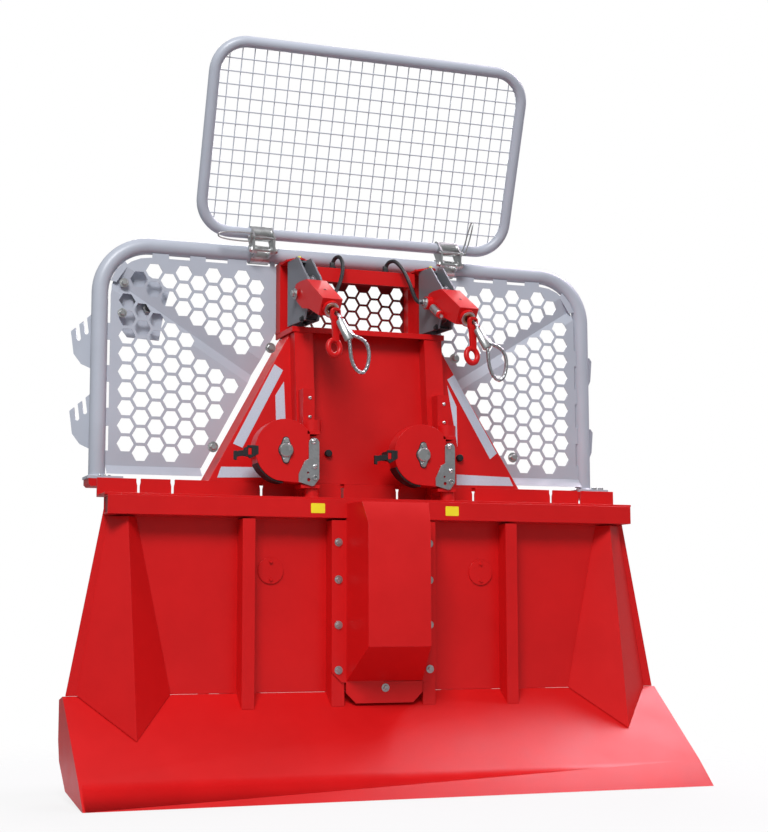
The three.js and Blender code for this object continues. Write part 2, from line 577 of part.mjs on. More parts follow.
// The right-hand sheet between the tower's wing and the guard tube, with its folded valley.
function guardSheet() {
  const {
    back, thickness, inner, edgeGap, topGap, shoulder, footX, foot, flange, hole, row, column, border, slopeBorder,
  } = sheet;
  const offset = guard.y - back;
  const reach = Math.sqrt(guard.radius ** 2 - offset ** 2);
  const outer = postX - reach - edgeGap;
  const top = guard.top - reach - topGap;
  const corner = guard.bend - reach - edgeGap;
  const rim = bendPoints(outer - corner, top - corner, corner, Math.PI / 2, 0).map(([x, , z]) => [x, z]);
  const edge = [[inner, shoulder], [footX, foot], [outer, foot], ...rim.reverse(), [inner, top]];
  const body = pull(facing(edge), 'y', back - thickness, back);
  const wide = pull(facing(edge), 'y', back - overrun, back + 2 * overrun);

  const dropAngle = Math.atan2(groove.outerHeight - groove.innerHeight, grooveOuter - groove.innerX);
  const length = Math.hypot(grooveOuter, groove.outerHeight);
  const fold = (points) => {
    const shape = outline(points);
    const strip = new THREE.ExtrudeGeometry(shape, { depth: length, bevelEnabled: false });
    strip.translate(0, 0, -length / 2);
    const along = new THREE.Vector3(Math.cos(dropAngle), 0, Math.sin(dropAngle));
    const up = new THREE.Vector3(-Math.sin(dropAngle), 0, Math.cos(dropAngle));
    const away = new THREE.Vector3().crossVectors(along, up).negate();
    const basis = new THREE.Matrix4().makeBasis(up, away.negate(), along);
    strip.applyMatrix4(basis);
    return solid(strip.translate((grooveOuter + groove.innerX) / 2, back, (groove.outerHeight + groove.innerHeight) / 2));
  };
  const valley = fold([
    [groove.upper, 0], [0, -groove.depth], [-groove.lower, 0], [-groove.lower, thickness],
    [0, thickness - groove.depth], [groove.upper, thickness],
  ]);
  const strip = fold([
    [groove.upper - thickness / 4, -overrun], [groove.upper - thickness / 4, overrun],
    [-groove.lower + thickness / 4, overrun], [-groove.lower + thickness / 4, -overrun],
  ]);
  const folded = join(cut(body, strip), valley.intersect(wide));

  const flangeSheet = pull(outline([
    [back, foot], [back - thickness, foot], [back - thickness - flange, foot - flange], [back - flange, foot - flange],
  ]), 'x', footX + thickness, outer + edgeGap - gap);
  const tabs = [];
  const tabReach = edgeGap - gap;
  const bendInner = guard.bend * Math.cos(Math.PI / (4 * bendSteps)) - reach;
  const along = (radius) => sheet.cornerTab.map((angle) => [
    postX - guard.bend + radius * Math.cos(angle * degree), guard.top - guard.bend + radius * Math.sin(angle * degree),
  ]);
  const tabMiddle = ((sheet.cornerTab[0] + sheet.cornerTab[1]) / 2) * degree;
  const [lowInner, highInner] = along(bendInner - topGap - thickness);
  const [lowOuter, highOuter] = along(bendInner - gap);
  tabs.push(pull(facing([
    lowInner, lowOuter,
    [
      postX - guard.bend + (bendInner - gap) * Math.cos(tabMiddle),
      guard.top - guard.bend + (bendInner - gap) * Math.sin(tabMiddle),
    ],
    highOuter, highInner,
  ]), 'y', back - thickness, back));
  const outerTabs = sheet.outerTabs.map((span) => span.map((inwards) => postX - inwards));
  for (const across of [...sheet.topTabs, ...outerTabs]) {
    tabs.push(box(across, [back - thickness, back], [top - thickness, top + topGap - gap]));
  }
  for (const span of sheet.sideTabs) {
    tabs.push(box([outer - thickness, outer + tabReach], [back - thickness, back], span));
  }

  const slope = (footX - inner) / (shoulder - foot);
  const innerEdge = (z) => inner + Math.max(0, shoulder - z) * slope;
  const creaseHeight = (x) => groove.innerHeight + (x - groove.innerX) * Math.tan(dropAngle);
  const inside = (x, z) => {
    const beyond = Math.hypot(Math.max(0, x - outer + corner), Math.max(0, z - top + corner));
    const clearOfRim = x < outer - border && z < top - border && beyond < corner - border;
    return clearOfRim && x > innerEdge(z) + slopeBorder && z > foot + border;
  };
  const upperField = (x, z) => inside(x, z) && z > creaseHeight(x) + groove.upper * 0.8;
  const lowerField = (x, z) => inside(x, z) && z < creaseHeight(x) - groove.lower;
  const columns = Math.ceil((outer - inner) / column);
  const rows = Math.ceil((top - foot) / row);
  const edgeX = outer - border;
  const cells = [
    ...honeycomb(edgeX - column * 0.12, top - border - row * 0.13, -column, row, columns, rows, upperField, hole),
    ...honeycomb(edgeX - column * 0.37, top - border + row * 0.1, -column, row, columns, rows, lowerField, hole),
  ];
  const holes = pull(cells, 'y', back - 2 * overrun, back + 2 * overrun);
  return cut(join(folded, flangeSheet, ...tabs), holes);
}

function chokerRack() {
  const { y, sheet: thick, stripInset, stripReach, reach, shoulder, drop, edge, lipReach, lip, heel, slot, slotDepth } = comb;
  const lean = Math.tan(comb.lean * degree);
  const root = postX + stripReach;
  const lowest = combs[combs.length - 1] - heel;
  const parts = [box([postX - stripInset, root], [y, y + thick], [lowest, combs[0]])];
  const plate = pull(facing([
    [0, 0], [0, -heel], [lipReach, -lip], [reach - (edge - drop) * lean, -edge], [reach, -drop], [shoulder, 0],
  ]), 'y', 0, thick);
  const slots = comb.slots.map((middle) => {
    const mouth = -((middle - shoulder) / (reach - shoulder)) * drop;
    const points = [
      [middle - slot / 2 + overrun * lean, mouth + overrun], [middle + slot / 2 + overrun * lean, mouth + overrun],
    ];
    for (let i = 0; i <= 4; i += 1) {
      const angle = (Math.PI * i) / 4;
      points.push([
        middle - slotDepth * lean + (slot / 2) * Math.cos(angle), mouth - slotDepth - (slot / 2) * Math.sin(angle),
      ]);
    }
    return pull(facing(points), 'y', -overrun, thick + overrun);
  });
  const teeth = cut(plate, ...slots);
  for (const top of combs) {
    const place = new THREE.Matrix4().makeTranslation(root, y, top);
    parts.push(moved(teeth, place.multiply(new THREE.Matrix4().makeRotationZ(comb.angle * degree))));
  }
  return join(...parts);
}

// Folding screen. Its group stands on the hinge line and leans forward.

const screenLean = screen.lean * degree;
const toScreen = (dy, dz) => [
  dy * Math.cos(screenLean) + dz * Math.sin(screenLean),
  dz * Math.cos(screenLean) - dy * Math.sin(screenLean),
];
const [tubeY, tubeZ] = toScreen(screen.tubeY - screen.hingeY, screen.tubeHeight - screen.hingeHeight);

function screenTube() {
  const { half, height, radius, corner } = screen;
  const path = new THREE.CurvePath();
  const at = (x, z) => new THREE.Vector3(x, tubeY, tubeZ + z);
  const arc = (x, z, start) => {
    const points = bendPoints(x, tubeZ + z, corner, start, tubeY, 5);
    for (let i = 1; i < points.length; i += 1) {
      path.add(new THREE.LineCurve3(new THREE.Vector3(...points[i - 1]), new THREE.Vector3(...points[i])));
    }
  };
  path.add(new THREE.LineCurve3(at(0, height), at(half - corner, height)));
  arc(half - corner, height - corner, Math.PI / 2);
  arc(half - corner, corner, 0);
  arc(corner - half, corner, -Math.PI / 2);
  arc(corner - half, height - corner, Math.PI);
  const points = path.curves.flatMap((curve) => [curve.v1, curve.v2]);
  const ring = points.filter((point, i) => i === 0 || point.distanceTo(points[i - 1]) > gap);
  ring.push(at(0, height));
  const lap = new THREE.Vector3(gap, 0, 0);
  const start = ring[0].clone().sub(lap);
  return tube([start, ...ring.slice(1, -1), ring[ring.length - 1].clone().add(lap)].map((p) => p.toArray()), radius, smallSides);
}

function screenMesh() {
  const { half, height, radius, corner } = screen;
  const clear = radius + gap;
  const halfWidth = half - clear;
  const low = tubeZ + clear;
  const high = tubeZ + height - clear;
  const round = corner - clear;
  const rim = (inset) => {
    const points = [];
    const bends = [
      [halfWidth - round, high - round, Math.PI / 2], [halfWidth - round, low + round, 0],
      [round - halfWidth, low + round, -Math.PI / 2], [round - halfWidth, high - round, Math.PI],
    ];
    for (const [x, z, start] of bends) {
      points.push(...bendPoints(x, z, round - inset, start, 0, 5).map(([px, , pz]) => [px, pz]));
    }
    return facing(points.reverse());
  };
  const y = [tubeY - net.thickness / 2, tubeY + net.thickness / 2];
  const pitchX = (2 * halfWidth - net.wire) / net.columns;
  const pitchZ = (high - low - net.wire) / net.rows;
  const cells = [];
  for (let i = 0; i < net.columns; i += 1) {
    for (let j = 0; j < net.rows; j += 1) {
      const x = -halfWidth + net.wire + i * pitchX;
      const z = low + net.wire + j * pitchZ;
      cells.push(facing([[x, z], [x + pitchX - net.wire, z], [x + pitchX - net.wire, z + pitchZ - net.wire], [x, z + pitchZ - net.wire]]));
    }
  }
  const gaps = pull(cells, 'y', y[0] - overrun, y[1] + overrun);
  const field = pull(rim(net.wire), 'y', y[0] - 2 * overrun, y[1] + 2 * overrun);
  const bracketHalf = clamp.earTo + clamp.bracketSheet + net.wire;
  const rooms = [-clamp.x, clamp.x].map((x) => box(
    [x - bracketHalf, x + bracketHalf], [y[0] - overrun, y[1] + overrun], [low - overrun, low + clamp.bracketWall + net.wire],
  ));
  return cut(pull(rim(0), 'y', ...y), gaps.intersect(field), ...rooms);
}

function clampBase() {
  const { half, ringWall, earFrom, earTo, earRadius, boltRadius } = clamp;
  const ring = guard.radius + gap + ringWall;
  const side = (radius, y, z) => {
    const points = [];
    for (let i = 0; i < roundSides; i += 1) {
      const angle = (2 * Math.PI * i) / roundSides;
      points.push([y + radius * Math.cos(angle), z + radius * Math.sin(angle)]);
    }
    return points;
  };
  const collar = rod([-half, guard.y, guard.top], [half, guard.y, guard.top], ring);
  const ears = [-1, 1].map((way) => hull([earFrom, earTo].flatMap((x) => [
    ...side(ring * 0.7, guard.y, guard.top), ...side(earRadius, screen.hingeY, screen.hingeHeight),
  ].map(([y, z]) => [way * x, y, z]))));
  const bores = [
    rod([-half - overrun, guard.y, guard.top], [half + overrun, guard.y, guard.top], guard.radius + gap),
    rod([-half - overrun, screen.hingeY, screen.hingeHeight], [half + overrun, screen.hingeY, screen.hingeHeight], boltRadius + running),
  ];
  return cut(join(collar, ...ears), ...bores);
}

// Bracket round the screen's tube, with the hinge bolt through its two cheeks.
function screenBracket() {
  const { earTo, earRadius, boltRadius, bracketSheet, bracketWall } = clamp;
  const near = earTo + 2 * gap;
  const far = near + bracketSheet;
  const around = (radius, y, z) => {
    const points = [];
    for (let i = 0; i < smallSides; i += 1) {
      const angle = (2 * Math.PI * i) / smallSides;
      points.push([y + radius * Math.cos(angle), z + radius * Math.sin(angle)]);
    }
    return points;
  };
  const ring = screen.radius + gap + bracketWall;
  const cheeks = [-1, 1].map((way) => hull([near, far].flatMap((x) => [
    ...around(earRadius, 0, 0), ...around(ring, tubeY, tubeZ), ...around(lockPin.collar, lockPin.y, lockPin.height),
  ].map(([y, z]) => [way * x, y, z]))));
  const collar = rod([-far, tubeY, tubeZ], [far, tubeY, tubeZ], ring);
  const bolt = rod([-far - bracketSheet, 0, 0], [far + bracketSheet, 0, 0], boltRadius, smallSides);
  const bore = rod([-far - overrun, tubeY, tubeZ], [far + overrun, tubeY, tubeZ], screen.radius + 2 * gap);
  const pinBore = rod(
    [-far - overrun, lockPin.y, lockPin.height], [far + overrun, lockPin.y, lockPin.height], lockPin.radius + gap, smallSides,
  );
  return cut(join(...cheeks, collar, bolt), bore, pinBore);
}

// Lock pin with its wire bail; up tells whether the bail stands or lies along the tube.
function screenLockPin(up) {
  const { radius, y, height, bail, bailHalf, wire, collar } = lockPin;
  const outside = clamp.earTo + 2 * gap + clamp.bracketSheet + gap;
  const pin = rod([-outside - radius, y, height], [outside + 2 * collar, y, height], radius, smallSides);
  const ring = rod([outside, y, height], [outside + radius, y, height], collar, smallSides);
  const root = outside + radius + wire;
  const loop = [];
  for (let i = 0; i <= smallSides; i += 1) {
    const angle = (Math.PI * i) / smallSides;
    const along = bail - bailHalf + bailHalf * Math.sin(angle);
    const across = bailHalf * Math.cos(angle);
    loop.push(up ? [root + bailHalf * 2 - along * 0.1, y - across, height + along] : [root + along, y - wire * 2, height - across]);
  }
  const first = up ? [root, y - bailHalf, height] : [root, y - wire * 2, height - bailHalf];
  const last = up ? [root, y + bailHalf, height] : [root, y - wire * 2, height + bailHalf];
  const bar = up
    ? rod([root, y - bailHalf - radius, height], [root, y + bailHalf + radius, height], radius, smallSides)
    : rod([root, y - wire * 2, height - bailHalf - radius], [root, y - wire * 2, height + bailHalf + radius], radius, smallSides);
  const eye = rod([root, y, height], [root, y - wire * 2, height], radius, smallSides);
  const wires = tube([first, ...loop, last], wire, rope.sides);
  return up ? join(pin, ring, bar, wires) : join(pin, ring, bar, eye, wires);
}

// Swivelling heads. Their group stands on the shelf at the swivel axis, turned by the yaw.

const pitch = head.pitch * degree;
const armPoint = (u, v, x = 0) => [
  x,
  -head.pivotReach - u * Math.cos(pitch) - v * Math.sin(pitch),
  head.pivotHeight - u * Math.sin(pitch) + v * Math.cos(pitch),
];
const pivotAt = (x) => armPoint(0, 0, x);

function headBracket() {
  const { half, sheet: thick, back, foot, top, topReach, swing, neck, bearing, bore, topPin } = bracket;
  const side = new THREE.Shape();
  side.moveTo(back, foot);
  side.lineTo(back, top);
  side.lineTo(-topReach, top);
  const startAngle = Math.PI - 56 * degree;
  const endAngle = Math.PI + 44 * degree;
  side.lineTo(-head.pivotReach + swing * Math.cos(startAngle), head.pivotHeight + swing * Math.sin(startAngle));
  side.absarc(-head.pivotReach, head.pivotHeight, swing, startAngle, endAngle);
  side.lineTo(-neck, foot);
  const block = pull(side, 'x', -half, half);
  const inside = box([thick - half, half - thick], [-neck - 2 * swing, back - thick], [foot + thick, top - thick]);
  const wheelRoom = box([thick - half, half - thick], [-neck - 2 * swing, -back / 2], [foot - overrun, top + overrun]);
  const pins = join(
    rod([0, 0, -thick], [0, 0, foot + thick], bearing),
    rod([0, 0, top - thick], [0, 0, top + ear.thickness + thick], topPin),
  );
  const pivot = rod(pivotAt(-half - overrun), pivotAt(half + overrun), head.pin + running);
  const ropeBore = rod([0, 0, -overrun], [0, 0, foot + overrun], bore);
  return cut(join(cut(block, inside, wheelRoom), pins), pivot, ropeBore);
}

function headArm(side) {
  const { half, sheet: thick, length, top, frontFoot, boxStart, ring, ringBore, ringLength, ringV } = arm;
  const { heel, heelLow, heelHigh, keelFrom, keelTo, keel, stepAt, shoulder } = arm;
  const profile = [
    [-heel, -heelLow], [keelFrom, -keel], [keelTo, -keel], [stepAt, 0], [length, frontFoot], [length, top],
    [boxStart, top], [0, shoulder], [-heel, heelHigh],
  ];
  const shape = outline(profile.map(([u, v]) => armPoint(u, v).slice(1)));
  const plates = pull(shape, 'x', -half, half);
  const room = pull(outline([
    [-heel - overrun, -keel - overrun], [length - thick, -keel - overrun], [length - thick, top - thick],
    [boxStart - thick, top - thick], [boxStart - thick, top + overrun], [-heel - overrun, top + overrun],
  ].map(([u, v]) => armPoint(u, v).slice(1))), 'x', thick - half, half - thick);
  const fairlead = rod(armPoint(length - thick / 2, ringV), armPoint(length + ringLength, ringV), ring);
  const bore = rod(armPoint(boxStart, ringV), armPoint(length + ringLength + overrun, ringV), ringBore);
  const pivot = rod(pivotAt(-half - thick), pivotAt(half + thick), head.pin);
  const eye = rod(pivotAt(side * (half - thick / 2)), pivotAt(side * arm.eyeReach), arm.eyeRadius);
  const cylinder = rod(
    armPoint(arm.cylinderFrom, arm.cylinderV, side * (half + arm.cylinder)),
    armPoint(arm.cylinderTo, arm.cylinderV, side * (half + arm.cylinder)),
    arm.cylinder, smallSides,
  );
  const lug = rod(
    armPoint(arm.cylinderFrom + arm.cylinder, arm.cylinderV, side * (half - thick / 2)),
    armPoint(arm.cylinderFrom + arm.cylinder, arm.cylinderV, side * (half + arm.cylinder)),
    arm.cylinder / 2, smallSides,
  );
  return join(cut(join(cut(plates, room), fairlead), bore), pivot, eye, cylinder, lug);
}

function headSheave() {
  const wheel = groovedWheel(sheave, head.pin + running, 'x');
  const [, y, z] = pivotAt(0);
  return moved(wheel, new THREE.Matrix4().makeTranslation(0, y, z));
}

// The rope's free end, in the head's own frame: out of the fairlead, through the hook, into the ferrule, and the eye.
const ropeOnSheave = { u: 8.4, v: 57.2 };
const ropeOnRing = { u: 200, v: 28.9 };
const ropeRoute = [
  armPoint(ropeOnSheave.u, ropeOnSheave.v), armPoint(ropeOnRing.u, ropeOnRing.v),
  [0.5, -252, 2.5], [1, -260, -0.5], [1.5, -266, -1], [2, -272, -1.5], [3, -279, -3.5],
  [6, -287, -10], [9, -292, -20], [12, -295, -32], [16, -301, -45],
];
const ferruleRoute = [[12.5, -296, -34], [27, -318, -80]];
const eyeRoute = [
  [25, -315, -74], [26, -318, -84], [25, -319, -97], [24, -320, -115], [27, -321, -136], [34, -323, -156], [43, -326, -170],
  [54, -329, -176], [64, -332, -170], [71, -334, -154], [75, -335, -131], [74, -334, -109], [67, -331, -91], [55, -327, -79],
  [42, -323, -74], [31, -319, -75], [23, -313, -72],
];

function ropeEnd() {
  return join(
    tube(ropeRoute, rope.radius, rope.sides),
    rod(ferruleRoute[0], ferruleRoute[1], ferrule.radius, smallSides),
    tube(eyeRoute, rope.radius, rope.sides),
  );
}

function chokerHook() {
  const { x, y, height, half, block, bar, drop, ring, ringBore, ringX, ringDrop, bore } = hook;
  const across = [y - half, y + half];
  const top = box([x - block + bar, x + block], across, [height - block, height + block]);
  const stem = box([x - 2 * bar, x], across, [height - drop, height]);
  const eye = rod([x + ringX, across[0], height - ringDrop], [x + ringX, across[1], height - ringDrop], ring);
  const eyeBore = rod(
    [x + ringX - bar / 2, across[0] - overrun, height - ringDrop],
    [x + ringX - bar / 2, across[1] + overrun, height - ringDrop], ringBore, smallSides,
  );
  const ropeBore = rod([2, across[0] - overrun, height], [2, across[1] + overrun, height], bore, smallSides);
  return cut(join(top, stem, eye), eyeBore, ropeBore);
}

// Hydraulic hoses from the crossbar to the heads, in the winch's frame.
const hoseRoutes = {
  left: [
    [-84, 225, 1540.4], [-84, 225, 1552], [-82, 221, 1566], [-77, 211, 1575], [-71, 197, 1574], [-67, 186, 1562], [-67, 178, 1545],
    [-70, 170, 1525], [-78, 160, 1500], [-90, 148, 1475], [-105, 135, 1452], [-122, 120, 1437], [-140, 109, 1431],
    [-151, 105.2, 1430], [-159.2, 104.4, 1430],
  ],
  right: [
    [89, 225, 1540.4], [89, 225, 1552], [92, 220, 1566], [98, 209, 1574], [108, 196, 1574], [118, 184, 1562], [127, 174, 1545],
    [134, 164, 1525], [140, 152, 1500], [143, 140, 1478], [145, 127, 1458], [147, 113, 1441], [151, 102, 1432],
    [160, 96.6, 1430], [169.8, 96.1, 1430],
  ],
};

// Lower pulleys. Their group stands on the swing axis, at ground height.

function pulleyOutline(inset) {
  const { centreX, centre, radius, cut: cutX, foot } = pulley;
  const r = radius - inset;
  const right = centreX + cutX;
  const shape = new THREE.Shape();
  const startAngle = Math.acos(Math.min(1, cutX / radius));
  const endAngle = 255 * degree;
  shape.moveTo(right + (inset ? overrun : 0), centre + r * Math.sin(startAngle));
  shape.absarc(centreX, centre, r, startAngle, endAngle);
  shape.lineTo(right + (inset ? overrun : 0), foot + inset);
  return shape;
}

function pulleyBody() {
  const { centreX, centre, half, sheet: thick, foot, strapHalf, capRadius, capReach, axle, stub, stubBore, blockSheet } = pulley;
  const turned = (shape) => outline(shape.getPoints(10).map((point) => [point.y, point.x]));
  const shell = cut(
    pull(turned(pulleyOutline(0)), 'y', -half, half),
    pull(turned(pulleyOutline(thick)), 'y', thick - half, half - thick),
  );
  const pin = rod([centreX, -half - capReach, centre], [centreX, half + capReach, centre], axle);
  const cap = rod([centreX, -half - capReach, centre], [centreX, -half + thick / 2, centre], capRadius);
  const topZ = [boss.bottom - gap - blockSheet, boss.bottom - gap];
  const footZ = [post.top + gap, post.top + gap + blockSheet];
  const reach = centreX / 2;
  const bossRoom = rod([0, 0, boss.bottom - gap], [0, 0, boss.top + overrun], boss.radius + thick / 2);
  const topBlock = box([reach / 2, strapHalf], [-half, half], topZ);
  const footBlock = box([reach, strapHalf], [-half, half], footZ);
  const strap = box([-strapHalf, strapHalf], [-half - capReach, -half + thick], [footZ[0], topZ[1]]);
  const wing = pull(facing([
    [centreX * 0.62, foot + blockSheet], [-strapHalf, post.top + gap], [strapHalf * 0.4, post.top + gap],
    [strapHalf, centre - capRadius * 2], [-strapHalf, centre - capRadius * 2],
  ]), 'y', -half - capReach, -half + thick / 2);
  const stubs = join(
    rod([0, 0, topZ[0]], [0, 0, boss.top - thick], stub),
    rod([0, 0, beam.top + rack.shelf + thick], [0, 0, footZ[1]], stub),
  );
  const ropeBore = rod([0, 0, 0], [0, 0, boss.top + overrun], stubBore);
  return join(cut(join(cut(shell, bossRoom), topBlock, footBlock, stubs), ropeBore), strap, wing, pin, cap);
}

function pulleySheaveWheel() {
  const wheel = groovedWheel(pulleySheave, pulley.axle + running, 'y');
  return moved(wheel, new THREE.Matrix4().makeTranslation(pulley.centreX, 0, pulley.centre));
}

const latchX = pulley.centreX - pulley.radius;

function pulleyLatch() {
  const { length, half, thickness, block, blockHalf, height, handleHalf, handle } = latch;
  const face = -pulley.half;
  const end = latchX - gap - length;
  return join(
    box([latchX - gap - block, latchX - gap], [face, face + 2 * half], [height - blockHalf, height + blockHalf]),
    box([end, latchX - block / 2], [face, face + thickness], [height - half, height + half]),
    box([end, end + handle], [face - thickness, face + thickness], [height - handleHalf, height + handleHalf]),
  );
}

// Rear frame and drive

function rearFrame() {
  const f = frame;
  const reach = postX - support.beamEnd;
  const back = blade.face + blade.sheet + gap;
  const upper = cut(
    box([-reach, reach], [f.beamFront, f.beamBack], [f.beamBottom, f.beamTop]),
    box([-reach - overrun, reach + overrun], [f.beamFront + f.wall, f.beamBack - f.wall], [f.beamBottom - overrun, f.beamTop - f.wall]),
  );
  const lower = box([-leg.x, leg.x], [f.tubeFrom, f.tubeTo], [f.tubeBottom, f.tubeTop]);
  const lowerBore = box(
    [-leg.x - overrun, leg.x + overrun], [f.tubeFrom + f.tubeWall, f.tubeTo - f.tubeWall],
    [f.tubeBottom + f.tubeWall, f.tubeTop - f.tubeWall],
  );
  const parts = [upper, lower];
  const bores = [lowerBore];
  for (const side of [-1, 1]) {
    const plate = outline([
      [back, f.foot], [f.sideBack, f.foot], [f.sideBack, f.beamBottom - f.wall * 4], [f.beamBack, f.beamTop],
      [f.beamFront, f.beamTop], [f.beamFront, f.beamBottom], [back, f.beamBottom],
    ]);
    parts.push(side > 0 ? pull(plate, 'x', f.sideFrom, f.sideTo) : pull(plate, 'x', -f.sideTo, -f.sideFrom));
    const tip = postX + (side > 0 ? support.far : support.outer);
    const seat = guard.foot - support.depth;
    const block = [
      [postX - support.inner, f.beamTop - f.wall], [reach, f.beamTop - f.wall], [reach, seat], [tip - support.corner, seat],
      [tip, seat + support.corner], [tip, guard.foot], [postX - support.inner, guard.foot],
    ].map(([x, z]) => [side * x, z]);
    parts.push(pull(facing(side > 0 ? block : block.reverse()), 'y', guard.y - guard.footY, f.beamBack));
    const socket = leg.half + gap + leg.socketWall;
    parts.push(box(
      [side * leg.x - socket, side * leg.x + socket], [leg.y - socket, leg.y + socket], [f.tubeBottom, leg.socketTop],
    ));
    const legRoom = leg.half + gap;
    bores.push(box(
      [side * leg.x - legRoom, side * leg.x + legRoom], [leg.y - legRoom, leg.y + legRoom],
      [f.tubeBottom - overrun, leg.socketTop + overrun],
    ));
    for (const way of [-1, 1]) {
      const near = lowerLink.x + way * lowerLink.inner;
      const far = near + way * lowerLink.sheet;
      const ear = outline([
        [f.tubeFrom, f.tubeTop - f.tubeWall / 2], [f.tubeTo, f.tubeTop - f.tubeWall / 2],
        [lowerLink.back, lowerLink.height - lowerLink.radius], [lowerLink.back, lowerLink.height + lowerLink.radius],
        [f.tubeTo, lowerLink.height + lowerLink.radius], [f.tubeFrom, lowerLink.height - lowerLink.radius],
      ]);
      parts.push(pull(ear, 'x', Math.min(side * near, side * far), Math.max(side * near, side * far)));
      const mastEar = outline([
        [f.beamFront + f.wall * 4, f.beamTop - f.wall / 2], [f.beamBack, f.beamTop - f.wall / 2],
        [topLink.y + topLink.radius, topLink.height - topLink.radius],
        [topLink.y + topLink.radius, topLink.height + topLink.radius],
        [topLink.y - topLink.radius, topLink.height + topLink.radius],
      ]);
      if (way > 0) {
        parts.push(pull(mastEar, 'x', side > 0 ? topLink.inner : -topLink.inner - topLink.sheet,
          side > 0 ? topLink.inner + topLink.sheet : -topLink.inner));
      }
    }
    const pinEnd = lowerLink.inner + lowerLink.sheet + lowerLink.pin;
    parts.push(rod(
      [side * lowerLink.x - pinEnd, lowerLink.y, lowerLink.height],
      [side * lowerLink.x + pinEnd, lowerLink.y, lowerLink.height], lowerLink.pin,
    ));
  }
  bores.push(rod(
    [-shaft.half - overrun, drumAxis.y, drumAxis.height], [shaft.half + overrun, drumAxis.y, drumAxis.height], shaft.radius + running,
  ));
  bores.push(rod(
    [-topLink.pinHalf, topLink.y, topLink.height], [topLink.pinHalf, topLink.y, topLink.height], topLink.pin + gap,
  ));
  return cut(join(...parts), ...bores);
}

function gearCaseBody() {
  const { half, radius, blockBack, blockHalf } = gearCase;
  const round = rod([-half, drumAxis.y, drumAxis.height], [half, drumAxis.y, drumAxis.height], radius, 32);
  const block = box(
    [-half, half], [drumAxis.y, blockBack], [drumAxis.height - blockHalf, drumAxis.height + blockHalf],
  );
  const shaftBore = rod(
    [-half - overrun, drumAxis.y, drumAxis.height], [half + overrun, drumAxis.y, drumAxis.height], shaft.radius + running,
  );
  const ptoBore = rod(
    [0, blockBack - pto.length / 2, drumAxis.height], [0, blockBack + overrun, drumAxis.height], pto.radius + running,
  );
  return cut(join(round, block), shaftBore, ptoBore);
}

function ropeDrum() {
  const { from, to, flange, core, flangeSheet } = drum;
  const bore = shaft.radius + running;
  const profile = [
    [bore, from], [flange, from], [flange, from + flangeSheet], [core, from + flangeSheet],
    [core, to - flangeSheet], [flange, to - flangeSheet], [flange, to], [bore, to], [bore, from],
  ];
  const lathe = new THREE.LatheGeometry(profile.map(([a, b]) => new THREE.Vector2(a, b)), 24);
  lathe.rotateZ(-Math.PI / 2);
  return solid(lathe.translate(0, drumAxis.y, drumAxis.height));
}

function ptoShaft() {
  const start = gearCase.blockBack - pto.length / 2 + gap;
  const face = gearCase.blockBack + gap;
  const z = drumAxis.height;
  return join(
    rod([0, start, z], [0, rearReach, z], pto.radius),
    rod([0, face, z], [0, face + pto.collarLength, z], pto.collar),
  );
}

function supportLeg() {
  const { x, y, half, foot, footHalf, top, wall } = leg;
  const post2 = cut(
    box([x - half, x + half], [y - half, y + half], [foot / 2, top]),
    box([x - half + wall, x + half - wall], [y - half + wall, y + half - wall], [foot, top + overrun]),
  );
  return join(post2, box([x - footHalf, x + footHalf], [y - footHalf, y + footHalf], [0, foot]));
}

function topLinkPin() {
  const { y, height, pin, pinHalf, headRadius, headLength, inner, sheet: thick } = topLink;
  const headFace = inner + thick + gap;
  return join(
    rod([-pinHalf, y, height], [headFace + headLength, y, height], pin),
    rod([headFace, y, height], [headFace + headLength, y, height], headRadius),
  );
}

function rearCoverSheet() {
  const { back, sheet: thick, top, foot, half, shaftHalf } = rearCover;
  const plate = box([-half, half], [back - thick, back], [foot, top]);
  const roof = box([-half, half], [frame.beamBack + gap, back], [top - thick, top]);
  const chord = Math.sqrt(gearCase.radius ** 2 - (back - thick - drumAxis.y) ** 2) + overrun / 2;
  const window = box(
    [-shaftHalf, shaftHalf], [back - overrun, back + overrun], [drumAxis.height - chord, drumAxis.height + chord],
  );
  return cut(join(plate, roof), window);
}

function oilTank() {
  const { from, to, back, bottom, top, corner, cap, capLength } = tank;
  const front = blade.face + blade.sheet + gap;
  const shape = outline([
    [from, front], [to, front], [to, back - corner], [to - corner, back], [from + corner, back], [from, back - corner],
  ]);
  const filler = rod(
    [(from + to) / 2, back - corner, top - 2 * cap], [(from + to) / 2, back + capLength, top - 2 * cap], cap,
  );
  return join(pull(shape, 'z', bottom, top), filler);
}

function valveBlock() {
  const { from, to, back, bottom, top, plug, plugLength } = valve;
  const front = blade.face + blade.sheet + gap;
  const parts = [box([-to, -from], [front, back], [bottom, top])];
  for (const share of [0.25, 0.75]) {
    const x = -from - (to - from) * share;
    for (const level of [0.3, 0.7]) {
      const z = bottom + (top - bottom) * level;
      parts.push(rod([x, back - plugLength, z], [x, back + plugLength, z], plug, 6));
    }
  }
  return join(...parts);
}

// Tool holder plate behind the left guard sheet, on two bolts through the sheet.
function toolHolder() {
  const behind = sheet.back + groove.depth + overrun / 2;
  const onPlate = ([inwards, height]) => [inwards - postX, height];
  const plate = pull(facing([
    [holder.outer, holder.heel], [holder.footX, holder.lowCorner], [holder.inner, holder.low],
    [holder.tipX, holder.tip], [holder.edgeX, holder.edge], [holder.neckX, holder.high], [holder.outer, holder.shoulder],
  ].map(onPlate)), 'y', behind, behind + sheet.thickness);
  const bolts = holder.bolts.map(onPlate).map(([x, z]) => rod(
    [x, sheet.back - sheet.thickness - 2 * sheet.thickness, z], [x, behind + 2 * sheet.thickness, z], clamp.boltRadius, smallSides,
  ));
  return join(plate, ...bolts);
}

// Assembly

const winch = new THREE.Group();
winch.position.y = -originY;

